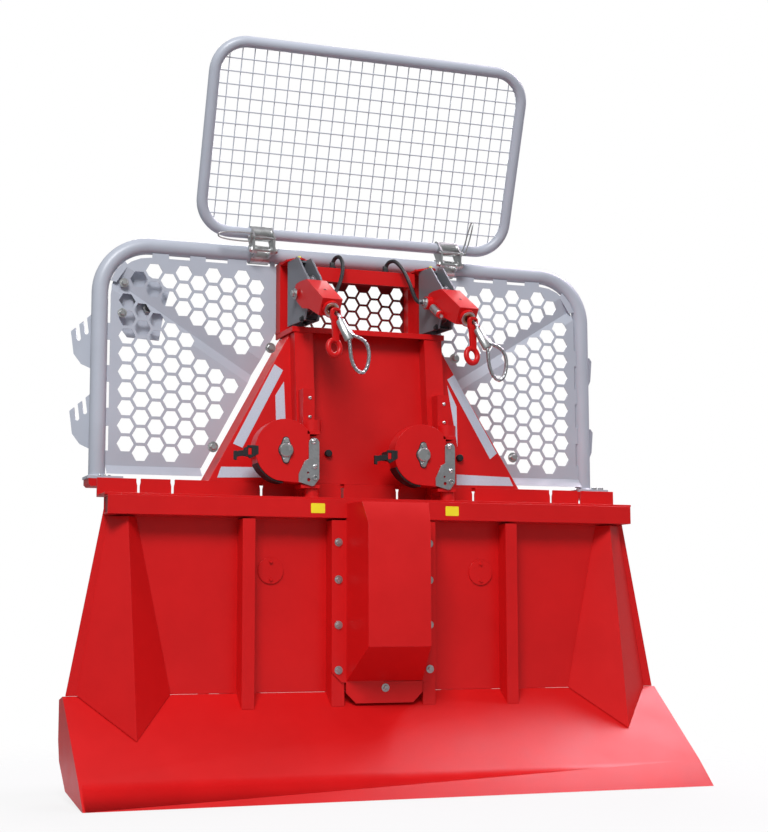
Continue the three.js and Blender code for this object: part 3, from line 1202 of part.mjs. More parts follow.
const sides = [['left', -1], ['right', 1]];
const addTo = (group, ...meshes) => meshes.forEach((mesh) => group.add(mesh));

addTo(
  winch,
  meshOf('blade_plate', bladePlate(), redPaint()),
  meshOf('blade_toe', bladeToe(), redPaint()),
  meshOf('top_beam', topBeam(), redPaint()),
  meshOf('chain_rack', chainRack(), redPaint()),
  meshOf('centre_cover', centreCover(), redPaint()),
  meshOf('tower_plate', towerPlate(), redPaint()),
  meshOf('tower_shelf', towerShelf(), redPaint()),
  meshOf('mast_frame', mastFrame(), redPaint()),
  meshOf('mast_panel', mastPanelSheet(), redPaint()),
  meshOf('guard_tube', guardTube(), greyPaint()),
  meshOf('rear_frame', rearFrame(), redPaint()),
  meshOf('gear_case', gearCaseBody(), darkGrey()),
  meshOf('drum_shaft', rod(
    [-shaft.half, drumAxis.y, drumAxis.height], [shaft.half, drumAxis.y, drumAxis.height], shaft.radius,
  ), steel()),
  meshOf('pto_shaft', ptoShaft(), steel()),
  meshOf('top_link_pin', topLinkPin(), zinc()),
  meshOf('rear_cover', rearCoverSheet(), redPaint()),
  meshOf('oil_tank', oilTank(), blackPaint()),
  meshOf('valve_block', valveBlock(), steel()),
);

const gussetBody = cornerGusset();
const outerRib = bladeRib(rib.outerFrom, rib.outerTo, rib.front);
const innerRib = bladeRib(rib.innerFrom, rib.innerTo, rib.innerFront);
const columnBody = towerColumn();
const sheetBody = guardSheet();
const rackBody = chokerRack();
const clampBody = clampBase();
const bracketBody = screenBracket();
const drumBody = ropeDrum();
const legBody = supportLeg();
const pulleyBodySolid = pulleyBody();
const pulleyWheel = pulleySheaveWheel();
const latchBody = pulleyLatch();
const headBracketBody = headBracket();
const headWheel = headSheave();
const ropeBody = ropeEnd();
const hookBody = chokerHook();

const screenGroup = new THREE.Group();
screenGroup.position.set(0, screen.hingeY, screen.hingeHeight);
screenGroup.rotation.x = screenLean;
winch.add(screenGroup);
addTo(
  screenGroup,
  meshOf('screen_tube', screenTube(), greyPaint()),
  meshOf('screen_mesh', screenMesh(), greyPaint()),
);

for (const [name, side] of sides) {
  addTo(
    winch,
    meshOf(`gusset_${name}`, gussetBody, redPaint(), side),
    meshOf(`rib_outer_${name}`, outerRib, redPaint(), side),
    meshOf(`rib_inner_${name}`, innerRib, redPaint(), side),
    meshOf(`tower_column_${name}`, side > 0 ? columnBody : mirroredColumn(), redPaint()),
    meshOf(`choker_rack_${name}`, rackBody, greyPaint(), side),
    meshOf(`drum_${name}`, drumBody, steel(), side),
    meshOf(`support_leg_${name}`, legBody, greyPaint(), side),
    meshOf(`hose_${name}`, tube(hoseRoutes[name], hose.radius, hose.sides), rubber()),
  );
  const clampMesh = meshOf(`clamp_base_${name}`, clampBody, zinc());
  clampMesh.position.x = side * clamp.x;
  winch.add(clampMesh);

  const bracketMesh = meshOf(`screen_bracket_${name}`, bracketBody, zinc());
  const pinMesh = meshOf(`screen_lock_pin_${name}`, screenLockPin(side > 0), zinc(), side);
  bracketMesh.position.x = side * clamp.x;
  pinMesh.position.x = side * clamp.x;
  addTo(screenGroup, bracketMesh, pinMesh);

  const headGroup = new THREE.Group();
  headGroup.position.set(side * head.x, head.y, shelf.top);
  headGroup.rotation.z = head.yaw * degree;
  winch.add(headGroup);
  addTo(
    headGroup,
    meshOf(`head_bracket_${name}`, headBracketBody, darkGrey()),
    meshOf(`head_arm_${name}`, headArm(-side), redPaint()),
    meshOf(`head_sheave_${name}`, headWheel, steel()),
    meshOf(`rope_end_${name}`, ropeBody, zinc()),
    meshOf(`choker_hook_${name}`, hookBody, redPaint()),
  );

  const pulleyGroup = new THREE.Group();
  pulleyGroup.position.set(side * pulley.x, pulley.y, 0);
  winch.add(pulleyGroup);
  addTo(
    pulleyGroup,
    meshOf(`pulley_body_${name}`, pulleyBodySolid, redPaint()),
    meshOf(`pulley_sheave_${name}`, pulleyWheel, steel()),
    meshOf(`pulley_latch_${name}`, latchBody, rubber()),
  );
}

addTo(
  winch,
  meshOf('guard_sheet_left', join(toMirror(sheetBody), toolHolder()), greyPaint()),
  meshOf('guard_sheet_right', sheetBody, greyPaint()),
);

// A solid mirrored in the plane of symmetry.
function toMirror(body) {
  const mirrored = meshOf('mirror', body, zinc(), -1);
  return solid(mirrored.geometry);
}

function mirroredColumn() {
  return toMirror(columnBody);
}

export default winch;
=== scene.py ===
"""Tractor-mounted forestry winch, dressed for the photograph. Shapes are millimetres, set in metres."""
import math

import bmesh
import bpy
from mathutils import Matrix, Vector
from mathutils.geometry import tessellate_polygon


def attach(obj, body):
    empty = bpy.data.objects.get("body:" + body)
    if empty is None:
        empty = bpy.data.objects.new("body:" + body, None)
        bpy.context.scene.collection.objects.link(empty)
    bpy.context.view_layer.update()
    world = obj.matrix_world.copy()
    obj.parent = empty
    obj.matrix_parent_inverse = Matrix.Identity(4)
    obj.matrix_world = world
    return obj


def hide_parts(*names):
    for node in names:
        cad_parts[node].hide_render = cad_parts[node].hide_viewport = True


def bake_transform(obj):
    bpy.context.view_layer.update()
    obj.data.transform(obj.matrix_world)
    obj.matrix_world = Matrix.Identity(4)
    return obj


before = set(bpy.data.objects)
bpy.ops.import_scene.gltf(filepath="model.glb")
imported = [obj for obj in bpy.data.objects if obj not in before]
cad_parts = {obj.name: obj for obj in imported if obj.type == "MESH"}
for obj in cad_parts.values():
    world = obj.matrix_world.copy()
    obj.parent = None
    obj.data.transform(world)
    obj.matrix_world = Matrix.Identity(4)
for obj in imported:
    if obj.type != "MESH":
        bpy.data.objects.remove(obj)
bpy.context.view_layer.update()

# Places: the winch's own frame in millimetres, and the frames of its moving groups

ORIGIN_Y = 140.0
MM = Matrix.Scale(0.001, 4)
SIDES = (("left", -1), ("right", 1))
X, Z = Vector((1, 0, 0)), Vector((0, 0, 1))
FRONT, BACK = (0, -1, 0), (0, 1, 0)

HEAD_X, HEAD_Y, SHELF_TOP = 212, 162, 1339
HEAD_YAW, HEAD_PITCH = math.radians(5), math.radians(33)
ARM_Y, ARM_Z = -62, 91
PULLEY_X, PULLEY_Y = 211, 36
SCREEN_Y, SCREEN_Z, SCREEN_LEAN = 225, 1584, math.radians(20.4)
TOWER_Y, TOWER_Z, TOWER_LEAN = 132, 881, math.radians(5.5)


def metres(x, y, z):
    return Vector((x, y - ORIGIN_Y, z)) / 1000


def placed(x, y, z, turn=0.0, axis="Z"):
    """The frame of a group: its place, its turn about one axis, and the scale to metres."""
    return Matrix.Translation(metres(x, y, z)) @ Matrix.Rotation(turn, 4, axis) @ MM


WINCH = placed(0, 0, 0)
SCREEN = placed(0, SCREEN_Y, SCREEN_Z, SCREEN_LEAN, "X")
HEAD = {name: placed(side * HEAD_X, HEAD_Y, SHELF_TOP, HEAD_YAW) for name, side in SIDES}
PULLEY = {name: placed(side * PULLEY_X, PULLEY_Y, 0) for name, side in SIDES}


def tower_y(z):
    return TOWER_Y + (z - TOWER_Z) * math.tan(TOWER_LEAN)


def arm_point(u, v, x=0.0):
    """A point of a head's arm, u along the rope and v above it, in the head's frame."""
    cos, sin = math.cos(HEAD_PITCH), math.sin(HEAD_PITCH)
    return Vector((x, ARM_Y - u * cos - v * sin, ARM_Z - u * sin + v * cos))


# Materials


def assign(tree, node, inputs):
    """Gives each input its value, or a link where the value is another node's output."""
    for key, value in inputs.items():
        if isinstance(value, bpy.types.NodeSocket):
            tree.links.new(value, node.inputs[key])
        else:
            node.inputs[key].default_value = value
    return node


def added(tree, kind, inputs=None):
    return assign(tree, tree.nodes.new(f"ShaderNode{kind}"), inputs or {})


def new_tree(owner, output_kind):
    """The emptied node tree of a material or world, and its output node."""
    owner.use_nodes = True
    owner.node_tree.nodes.clear()
    return owner.node_tree, added(owner.node_tree, output_kind)


def new_material(name):
    material = bpy.data.materials.new(name)
    tree, output = new_tree(material, "OutputMaterial")
    shader = added(tree, "BsdfPrincipled")
    assign(tree, output, {0: shader.outputs[0]})
    return material, tree, shader, added(tree, "TexCoord").outputs["Object"]


def noise(tree, coords, scale, detail):
    inputs = {"Scale": scale, "Detail": detail, "Roughness": 0.55, "Vector": coords}
    return added(tree, "TexNoise", inputs).outputs["Fac"]


def cells(tree, coords, scale):
    return added(tree, "TexVoronoi", {"Scale": scale, "Vector": coords})


def shade(color, factor):
    return tuple(min(1.0, channel * factor) for channel in color)


def tint_between(tree, value, low, high):
    """A colour from a value: low and high each hold a place on the ramp and a colour."""
    node = added(tree, "ValToRGB", {0: value})
    for element, (place, color) in zip(node.color_ramp.elements, (low, high)):
        element.position = place
        element.color = (*color, 1.0)
    return node.outputs[0]


def patches(tree, coords, scale, color, tint):
    """A colour in darker and lighter patches."""
    dark, light = (0.3, shade(color, 1 - tint)), (0.7, shade(color, 1 + tint))
    return tint_between(tree, noise(tree, coords, scale, 4.0), dark, light)


def spread(tree, value, low, high, start=0.0):
    """A value from start to 1, spread from low to high."""
    inputs = {"Value": value, "From Min": start, "To Min": low, "To Max": high}
    return added(tree, "MapRange", inputs).outputs[0]


def bump(tree, height, strength, distance):
    inputs = {"Strength": strength, "Distance": distance, "Height": height}
    return added(tree, "Bump", inputs).outputs[0]


def painted(name, color, roughness=0.34, coat=0.0, tint=0.07, peel=0.12, metallic=0.0, gloss=0.3):
    """Powder paint: broad faint tint, fine orange peel and uneven gloss."""
    material, tree, shader, coords = new_material(name)
    blotch = noise(tree, coords, 14.0, 3.0)
    assign(tree, shader, {
        "Base Color": patches(tree, coords, 3.5, color, tint),
        "Roughness": spread(tree, blotch, roughness - 0.06, roughness + 0.08),
        "Metallic": metallic,
        "Specular IOR Level": gloss,
        "Coat Weight": coat,
        "Coat Roughness": 0.12,
        "Normal": bump(tree, noise(tree, coords, 420.0, 2.0), peel, 0.0004),
    })
    return material


def plated(name, color, roughness=0.34, spangle=70.0, contrast=0.16):
    """Zinc plate or bare steel: small crystals, faint brushing and uneven gloss."""
    material, tree, shader, coords = new_material(name)
    crystal = added(tree, "SeparateColor", {0: cells(tree, coords, spangle).outputs["Color"]})
    dark, light = (0.0, shade(color, 1 - contrast)), (1.0, shade(color, 1 + contrast))
    blotch = noise(tree, coords, 40.0, 3.0)
    assign(tree, shader, {
        "Base Color": tint_between(tree, crystal.outputs[0], dark, light),
        "Roughness": spread(tree, blotch, roughness - 0.08, roughness + 0.12),
        "Metallic": 1.0,
        "Normal": bump(tree, noise(tree, coords, 700.0, 2.0), 0.08, 0.0003),
    })
    return material


def matt(name, color, roughness, grain=350.0, strength=0.2):
    """Rubber or plastic with a fine grain."""
    material, tree, shader, coords = new_material(name)
    fine = noise(tree, coords, grain, 3.0)
    assign(tree, shader, {
        "Base Color": patches(tree, coords, 22.0, color, 0.15),
        "Roughness": spread(tree, fine, roughness - 0.08, roughness + 0.08),
        "Normal": bump(tree, fine, strength, 0.0005),
    })
    return material


def film(name, color):
    """Plain reflective film: small cells under a clear layer."""
    material, tree, shader, coords = new_material(name)
    edges = cells(tree, coords, 330.0)
    edges.feature = "DISTANCE_TO_EDGE"
    dark = (0.0, shade(color, 0.86))
    assign(tree, shader, {
        "Base Color": tint_between(tree, edges.outputs["Distance"], dark, (0.18, color)),
        "Roughness": 0.3,
        "Coat Weight": 0.4,
        "Coat Roughness": 0.1,
    })
    return material


RED = painted("red_paint", (0.62, 0.0075, 0.0085))
# Darker red: painted shade on the beam's end plates, also used on the drums.
DEEP_RED_AND_SHADE = painted("deep_red_and_painted_shade", (0.3, 0.006, 0.009), roughness=0.4)
# The mast panel's red is made near black as painted shade under the crossbar.
PANEL_SHADE_RED = painted("panel_painted_shade", (0.14, 0.004, 0.006), roughness=0.45)
GREY = painted("grey_paint", (0.46, 0.49, 0.565), tint=0.05, gloss=0.5)
CAST_GREY = painted("cast_grey_paint", (0.2, 0.21, 0.235), 0.38, peel=0.2, metallic=0.3, gloss=0.5)
DARK = painted("dark_paint", (0.02, 0.021, 0.024), roughness=0.42, coat=0.1)
ZINC = plated("zinc_plate", (0.56, 0.57, 0.57))
STRAP_ZINC = plated("zinc_sheet", (0.5, 0.51, 0.52), roughness=0.4, spangle=150.0, contrast=0.07)
STEEL = plated("bare_steel", (0.36, 0.36, 0.37), roughness=0.38, spangle=120.0)
ROPE_STEEL = plated("rope_wire", (0.46, 0.46, 0.48), roughness=0.3, spangle=500.0, contrast=0.3)
BRASS = plated("brass_bush", (0.42, 0.3, 0.16), roughness=0.3, spangle=200.0)
RUBBER = matt("black_rubber", (0.012, 0.012, 0.014), roughness=0.62)
HOSE = matt("hose_rubber", (0.014, 0.014, 0.017), roughness=0.45, grain=600.0)
YELLOW = painted("yellow_vinyl", (0.95, 0.78, 0.025), roughness=0.3, coat=0.3, peel=0.03)
CAP_YELLOW = matt("yellow_cap", (0.78, 0.72, 0.02), roughness=0.4, grain=200.0, strength=0.05)
FILM = film("reflective_film", (0.6, 0.68, 0.8))

# Curves and rings of points


def turns(count):
    return [2 * math.pi * i / count for i in range(count)]


def sixths(start=0):
    """Six even angles round a circle, from a start in degrees."""
    return [math.radians(degrees) for degrees in range(start, start + 360, 60)]


def circle(radius, centre=(0.0, 0.0), sides=24, start=0.0, end=360.0):
    """A circle, or the arc from start to end in degrees; sides counts for the whole round."""
    full = abs(end - start) >= 360
    count = sides if full else max(3, int(sides * abs(end - start) / 360))
    points = []
    for i in range(count if full else count + 1):
        angle = math.radians(start + (end - start) * i / count)
        points.append((centre[0] + radius * math.cos(angle), centre[1] + radius * math.sin(angle)))
    return points


def smooth(points, per_span):
    """A Catmull-Rom curve through the points."""
    points = [Vector(point) for point in points]
    ends = [points[0] * 2 - points[1]] + points + [points[-1] * 2 - points[-2]]
    curve = []
    for a, b, c, d in zip(ends, ends[1:], ends[2:], ends[3:]):
        for i in range(per_span):
            t = i / per_span
            square = (a * 2 - b * 5 + c * 4 - d) * t * t
            cube = (b * 3 - a - c * 3 + d) * t ** 3
            curve.append((b * 2 + (c - a) * t + square + cube) / 2)
    return curve + [points[-1]]


def even(path, step):
    """The same path in steps of one length."""
    kept, rest = [path[0]], 0.0
    for a, b in zip(path, path[1:]):
        length = (b - a).length
        reach = step - rest
        while reach <= length:
            kept.append(a.lerp(b, reach / length))
            reach += step
        rest = length - (reach - step)
    if (kept[-1] - path[-1]).length > step * 0.3:
        kept.append(path[-1])
    return kept


def around(axis):
    """Two directions at right angles to an axis."""
    axis = axis.normalized()
    first = axis.orthogonal().normalized()
    if abs(axis.z) < 0.9:
        first = Z.cross(axis).normalized()
    return first, axis.cross(first).normalized()


def tangents_along(path, closed):
    before = (path[-1:] if closed else path[:1]) + path[:-1]
    after = path[1:] + (path[:1] if closed else path[-1:])
    return [(b - a).normalized() for a, b in zip(before, after)]


def normals_along(tangents):
    """Normals carried along a path without twist."""
    normal, _ = around(tangents[0])
    normals = [normal]
    for before, after in zip(tangents, tangents[1:]):
        normal = before.rotation_difference(after) @ normal
        normal = (normal - after * normal.dot(after)).normalized()
        normals.append(normal)
    return normals


def twist_round(tangents, normals):
    """The angle by which the carried normal misses the first one on a closed path."""
    back = tangents[-1].rotation_difference(tangents[0]) @ normals[-1]
    return math.atan2(back.cross(normals[0]).dot(tangents[0]), back.dot(normals[0]))


def skin(rings, sides, closed=False):
    """Faces between rings of points that follow each other."""
    faces = []
    for i in range(rings if closed else rings - 1):
        k = (i + 1) % rings
        for j in range(sides):
            n = (j + 1) % sides
            faces.append((i * sides + j, i * sides + n, k * sides + n, k * sides + j))
    return faces


def end_caps(rings, sides):
    return [tuple(reversed(range(sides))), tuple(range((rings - 1) * sides, rings * sides))]


# Mesh pieces


def linked(name, data):
    made = bpy.data.objects.new(name, data)
    bpy.context.scene.collection.objects.link(made)
    return made


TINY = 1e-6
ROPE_LAY, STRAND_DEPTH = 70.0, 0.2
BOLT_FLATS = 13
SMOOTH_BELOW = math.radians(38)
BEVEL_ABOVE = math.radians(32)


class Piece:
    """One visible object, gathered from several shapes that ride together."""

    def __init__(self, name, body, slot, where=WINCH):
        self.name, self.body, self.slot, self.where = name, body, slot, where
        self.mesh = bmesh.new()
        self.materials = []

    def shape(self, points, faces, material):
        if material not in self.materials:
            self.materials.append(material)
        index = self.materials.index(material)
        verts = [self.mesh.verts.new(Vector(point)) for point in points]
        for face in faces:
            made = self.mesh.faces.new([verts[i] for i in face])
            made.material_index = index
            made.smooth = True

    def slab(self, outline, u, v, origin, thickness, material, holes=()):
        """A flat plate: an outline in the plane of u and v, pulled along their normal."""
        origin, u, v = Vector(origin), Vector(u), Vector(v)
        normal = u.cross(v).normalized() * thickness
        loops = [outline, *holes]
        flat = [[Vector((a, b, 0.0)) for a, b in loop] for loop in loops]
        caps = tessellate_polygon(flat) if holes else [tuple(range(len(outline)))]
        low = [origin + u * a + v * b for loop in loops for a, b in loop]
        count = len(low)
        faces = [tuple(face) for face in caps]
        faces += [tuple(i + count for i in reversed(face)) for face in caps]
        start = 0
        for loop in loops:
            size = len(loop)
            for i in range(size):
                j = (i + 1) % size
                faces.append((start + i, start + j, start + j + count, start + i + count))
            start += size
        self.shape(low + [point + normal for point in low], faces, material)

    def front(self, outline, y, thickness, material, holes=()):
        """A plate in the plane of X and Z whose front is at y."""
        self.slab(outline, X, Z, (0, y + thickness, 0), thickness, material, holes)

    def box(self, xs, ys, zs, material):
        points = [(x, y, z) for x in xs for y in ys for z in zs]
        faces = [(0, 1, 3, 2), (4, 6, 7, 5), (0, 4, 5, 1), (2, 3, 7, 6), (0, 2, 6, 4), (1, 5, 7, 3)]
        self.shape(points, faces, material)

    def lathe(self, profile, centre, axis, material, sides=32):
        """A body of revolution: the profile holds radius and height along the axis."""
        centre, axis = Vector(centre), Vector(axis).normalized()
        first, second = around(axis)
        points, rings = [], []
        for radius, height in profile:
            if radius < TINY:
                rings.append([len(points)])
                points.append(centre + axis * height)
                continue
            rings.append(list(range(len(points), len(points) + sides)))
            for angle in turns(sides):
                ray = first * math.cos(angle) + second * math.sin(angle)
                points.append(centre + axis * height + ray * radius)
        closed = profile[0][0] > TINY
        faces = []
        for a, b in zip(rings, rings[1:] + (rings[:1] if closed else [])):
            for i in range(sides):
                j = (i + 1) % sides
                face = [a[i % len(a)], a[j % len(a)], b[j % len(b)], b[i % len(b)]]
                unique = list(dict.fromkeys(face))
                if len(unique) > 2:
                    faces.append(tuple(unique))
        self.shape(points, faces, material)

    def tube(self, path, radius, material, sides=16, closed=False, strands=0):
        """A round bar along a path, or a rope whose strands twist round it."""
        path = [Vector(point) for point in path]
        count = len(path)
        tangents = tangents_along(path, closed)
        normals = normals_along(tangents)
        slip = twist_round(tangents, normals) if closed else 0.0
        points = []
        travelled = 0.0
        for i in range(count):
            if i:
                travelled += (path[i] - path[i - 1]).length
            side = tangents[i].cross(normals[i])
            turn = slip * i / count
            for angle in turns(sides):
                angle += turn
                swell = 1.0
                if strands:
                    wave = strands * (angle - 2 * math.pi * travelled / ROPE_LAY)
                    swell = 1 - STRAND_DEPTH * (0.5 - 0.5 * math.cos(wave))
                ray = normals[i] * math.cos(angle) + side * math.sin(angle)
                points.append(path[i] + ray * radius * swell)
        faces = skin(count, sides, closed)
        if not closed:
            faces += end_caps(count, sides)
        self.shape(points, faces, material)

    def disc(self, centre, axis, radius, height, material, sides=32):
        edge = min(radius, height) * 0.18
        rim = ((radius, 0), (radius, height - edge), (radius - edge, height))
        self.lathe(((0, 0), *rim, (0, height)), centre, axis, material, sides)

    def ring(self, centre, axis, radius, bore, height, material, sides=32):
        edge = min(radius - bore, height) * 0.2
        low = ((bore, 0), (radius - edge, 0), (radius, edge))
        high = ((radius, height - edge), (radius - edge, height), (bore, height))
        self.lathe((*low, *high), centre, axis, material, sides)

    def hex_bolt(self, at, axis, flats, material=ZINC, washer=True):
        """A hexagon head with its washer; flats is the size across the flats."""
        at, axis = Vector(at), Vector(axis).normalized()
        radius = flats / math.sqrt(3)
        seat = 0.0
        if washer:
            seat = flats * 0.12
            self.disc(at, axis, flats * 0.92, seat, material, 24)
        height = flats * 0.55
        top = seat + height
        side = ((radius, seat), (radius, seat + height * 0.82), (radius * 0.84, top))
        self.lathe(((0, seat), *side, (0, top)), at, axis, material, 6)

    def round_bolt(self, at, axis, radius):
        """A domed head with a socket in it."""
        height = radius * 0.62
        dome = [(0, height * 0.55), (radius * 0.36, height * 0.55), (radius * 0.4, height)]
        dome += [(radius * math.cos(a), height * math.sin(a)) for a in (1.1, 0.8, 0.5, 0.2)]
        dome += [(radius, 0), (0, 0)]
        self.lathe(dome, at, axis, ZINC, 24)

    def done(self, bevel=0.0, replaces=()):
        bmesh.ops.recalc_face_normals(self.mesh, faces=self.mesh.faces)
        data = bpy.data.meshes.new(self.name)
        self.mesh.to_mesh(data)
        self.mesh.free()
        for material in self.materials:
            data.materials.append(material)
        data.transform(self.where)
        data.set_sharp_from_angle(angle=SMOOTH_BELOW)
        made = linked(self.name, data)
        if bevel:
            round_edges(made, bevel)
        if self.body:
            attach(made, self.body)
        if replaces:
            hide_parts(*replaces)
        return made


def round_edges(piece, width):
    modifier = piece.modifiers.new("edges", "BEVEL")
    modifier.width = width / 1000
    modifier.segments = 2
    modifier.limit_method = "ANGLE"
    modifier.angle_limit = BEVEL_ABOVE
    modifier.harden_normals = True


# Camera

FOCAL_PIXELS, FRAME_HEIGHT, SENSOR = 1655.6, 832, 36.0
CAMERA_PLACE = metres(-1690, -4481, 473)
YAW, PITCH, ROLL = math.radians(20.65), math.radians(7.06), math.radians(-0.15)


def photo_camera():
    data = bpy.data.cameras.new("camera")
    data.sensor_fit = "AUTO"
    data.sensor_width = SENSOR
    data.lens = FOCAL_PIXELS / FRAME_HEIGHT * SENSOR
    data.clip_end = 60.0
    ahead = Vector((math.sin(YAW) * math.cos(PITCH), math.cos(YAW) * math.cos(PITCH), math.sin(PITCH)))
    level = Vector((math.cos(YAW), -math.sin(YAW), 0))
    over = level.cross(ahead)
    right = level * math.cos(ROLL) + over * math.sin(ROLL)
    up = over * math.cos(ROLL) - level * math.sin(ROLL)
    turn = Matrix((right, up, -ahead)).transposed().to_4x4()
    camera = linked("camera", data)
    camera.matrix_world = Matrix.Translation(CAMERA_PLACE) @ turn
    bpy.context.scene.camera = camera


photo_camera()

# Ropes with their ferrules and choker hooks, in the head's frame

ROPE_RADIUS, ROPE_STEP = 5.5, 2.4
ROPE_INSIDE = [arm_point(u, v) for u, v in ((8.4, 57.2), (70, 48.1), (140, 37.8), (200, 28.9))]
ROPE_FREE = [
    (0.5, -252, 2.5), (1, -260, -0.5), (1.5, -266, -1), (2, -272, -1.5), (3, -279, -3.5),
    (4.5, -287, -11), (5.5, -291, -21), (7.5, -295, -34), (14, -306, -58), (21.5, -316.5, -80),
    (23.5, -319, -97), (24.5, -320, -115), (27.5, -321, -136), (34, -323, -156), (43, -326, -169),
    (54, -329, -175), (64, -332, -169), (71, -334, -154), (75, -335, -131), (74, -334, -109),
    (67, -331, -90), (56, -327, -79), (44.5, -323, -73), (35, -318.5, -68), (28.5, -312, -58),
    (23, -305, -46), (18.5, -299, -36),
]
FERRULE = (Vector((6, -291, -24)), Vector((22.5, -317, -82)))
FERRULE_ACROSS = Vector((0.902, -0.203, 0.381))
FERRULE_WIDE, FERRULE_THIN, FERRULE_EDGE, FERRULE_TAPER = 13, 10, 1.5, 0.84

HOOK_FRONT, HOOK_THICK = -279, 14
HOOK_BLOCK = [
    (-13, -20), (-16, -14), (-15, 8), (-10, 15), (6, 16), (14, 10), (15, -4), (21, -12),
    (22, -20), (14, -23), (-2, -22),
]
HOOK_STEM = [(-13, -16), (4, -16), (10, -40), (10, -80), (-2, -84), (-8, -80), (-10, -50)]
HOOK_BORE = circle(8.2, (2, -1), 20)
LOOP_X, LOOP_Z = -4, -99
LOOP_WIDE, LOOP_SWING, LOOP_TALL, LOOP_BAR = 18, 3, 22, 8


def rope_end(name):
    where = HEAD[name]
    line = even(smooth(ROPE_INSIDE + ROPE_FREE, 10), ROPE_STEP)
    piece = Piece(f"rope_{name}", f"rope_{name}", "steel", where)
    piece.tube(line, ROPE_RADIUS, ROPE_STEEL, sides=24, strands=6)
    made = piece.done(replaces=(f"rope_end_{name}",))
    ferrule = ferrule_piece(name)
    hook_piece(name)


def ferrule_piece(name, sides=32):
    """The pressed oval sleeve that closes the rope's eye."""
    piece = Piece(f"rope_ferrule_{name}", f"rope_{name}", "zinc", HEAD[name])
    start, end = FERRULE
    axis = (end - start).normalized()
    across = (FERRULE_ACROSS - axis * FERRULE_ACROSS.dot(axis)).normalized()
    thick = axis.cross(across)
    outline = [(FERRULE_WIDE * math.cos(a), FERRULE_THIN * math.sin(a)) for a in turns(sides)]
    long, edge = (end - start).length, FERRULE_EDGE
    rings = [(FERRULE_TAPER, -edge), (1.0, edge), (1.0, long - edge), (FERRULE_TAPER, long + edge)]
    points = []
    for scale, height in rings:
        centre = start + axis * height
        points += [centre + across * a * scale + thick * b * scale for a, b in outline]
    piece.shape(points, end_caps(len(rings), sides) + skin(len(rings), sides), ZINC)
    return piece.done()


def hook_piece(name):
    """The choker slider: a square eye for the rope, a flat stem and a ring."""
    piece = Piece(f"rope_hook_{name}", f"hook_{name}", "red", HEAD[name])
    piece.front(HOOK_BLOCK, HOOK_FRONT, HOOK_THICK, RED, holes=[HOOK_BORE])
    piece.front(HOOK_STEM, HOOK_FRONT + 1, HOOK_THICK - 2, RED)
    middle = HOOK_FRONT + HOOK_THICK / 2
    ring = []
    for a in turns(28):
        x = LOOP_X + LOOP_WIDE * math.cos(a)
        ring.append((x, middle + LOOP_SWING * math.sin(a), LOOP_Z + LOOP_TALL * math.sin(a)))
    piece.tube(ring, LOOP_BAR, RED, sides=14, closed=True)
    return piece.done(bevel=2.2, replaces=(f"choker_hook_{name}",))


# Hydraulic hoses from the crossbar to the heads

HOSE_RADIUS, HOSE_STEP = 6.0, 4.0
HOSE_ROUTES = {
    "left": [
        (-84, 225, 1540.4), (-84, 225, 1552), (-82, 221, 1566), (-77, 211, 1575), (-71, 197, 1574),
        (-67, 186, 1562), (-67, 178, 1545), (-70, 170, 1525), (-78, 160, 1500), (-90, 148, 1475),
        (-105, 135, 1452), (-122, 120, 1437), (-140, 109, 1431), (-151, 105.2, 1430),
        (-159.2, 104.4, 1430),
    ],
    "right": [
        (89, 225, 1540.4), (89, 225, 1552), (92, 220, 1566), (98, 209, 1574), (108, 196, 1574),
        (118, 184, 1562), (127, 174, 1545), (134, 164, 1525), (140, 152, 1500), (143, 140, 1478),
        (145, 127, 1458), (147, 113, 1441), (151, 102, 1432), (160, 96.6, 1430), (169.8, 96.1, 1430),
    ],
}
HOSE_ROOT = ((0, 0), (10.5, 0), (10.5, 8), (8.6, 9.5), (8.6, 20), (7.6, 22), (0, 22))
HOSE_TIP = ((0, 0), (10, 0), (10, 7), (8.4, 8.5), (8.4, 18), (7.4, 20), (0, 20))


def hose(name):
    route = HOSE_ROUTES[name]
    line = even(smooth(route, 6), HOSE_STEP)
    piece = Piece(f"hydraulic_hose_{name}", None, "rubber")
    piece.tube(line, HOSE_RADIUS, HOSE, sides=16)
    made = piece.done(replaces=(f"hose_{name}",))
    root = Piece(f"hose_root_{name}", "winch", "zinc")
    root.lathe(HOSE_ROOT, route[0], Z, DARK, 6)
    tip = Piece(f"hose_tip_{name}", f"head_{name}", "zinc")
    tip.lathe(HOSE_TIP, route[-1], Vector(route[-3]) - Vector(route[-1]), CAST_GREY, 6)
    fittings = [root.done(), tip.done()]
    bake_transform(made)


for name, _ in SIDES:
    rope_end(name)
    hose(name)

# Carried-over nodes

# Each paint with the nodes that have it: the single ones, then those with a left and a right
FINISH = (
    (RED, "blade_plate blade_toe top_beam chain_rack centre_cover tower_plate tower_shelf", ""),
    (RED, "mast_frame rear_frame rear_cover", "gusset rib_outer rib_inner tower_column head_arm"),
    # The mast panel takes the near-black red, painted shade under the crossbar.
    (PANEL_SHADE_RED, "mast_panel", ""),
    (GREY, "", "guard_sheet choker_rack support_leg"),
    (CAST_GREY, "gear_case", "head_bracket"),
    (ZINC, "top_link_pin", "clamp_base screen_bracket"),
    (STEEL, "drum_shaft pto_shaft valve_block", "head_sheave"),
    (DARK, "oil_tank", ""),
)
SHARP = ("mast_panel", "guard_sheet_left", "guard_sheet_right")
WELD_METRES, EDGE_ROUND = 0.00001, 1.3


def dress(node, material):
    """Gives a node its paint, and rounded edges where it isn't thin pierced sheet."""
    data = node.data
    data.materials.clear()
    data.materials.append(material)
    if "custom_normal" in data.attributes:
        data.attributes.remove(data.attributes["custom_normal"])
    weld = node.modifiers.new("weld", "WELD")
    weld.merge_threshold = WELD_METRES
    if node.name in SHARP:
        data.shade_flat()
        return
    data.shade_smooth()
    round_edges(node, EDGE_ROUND)


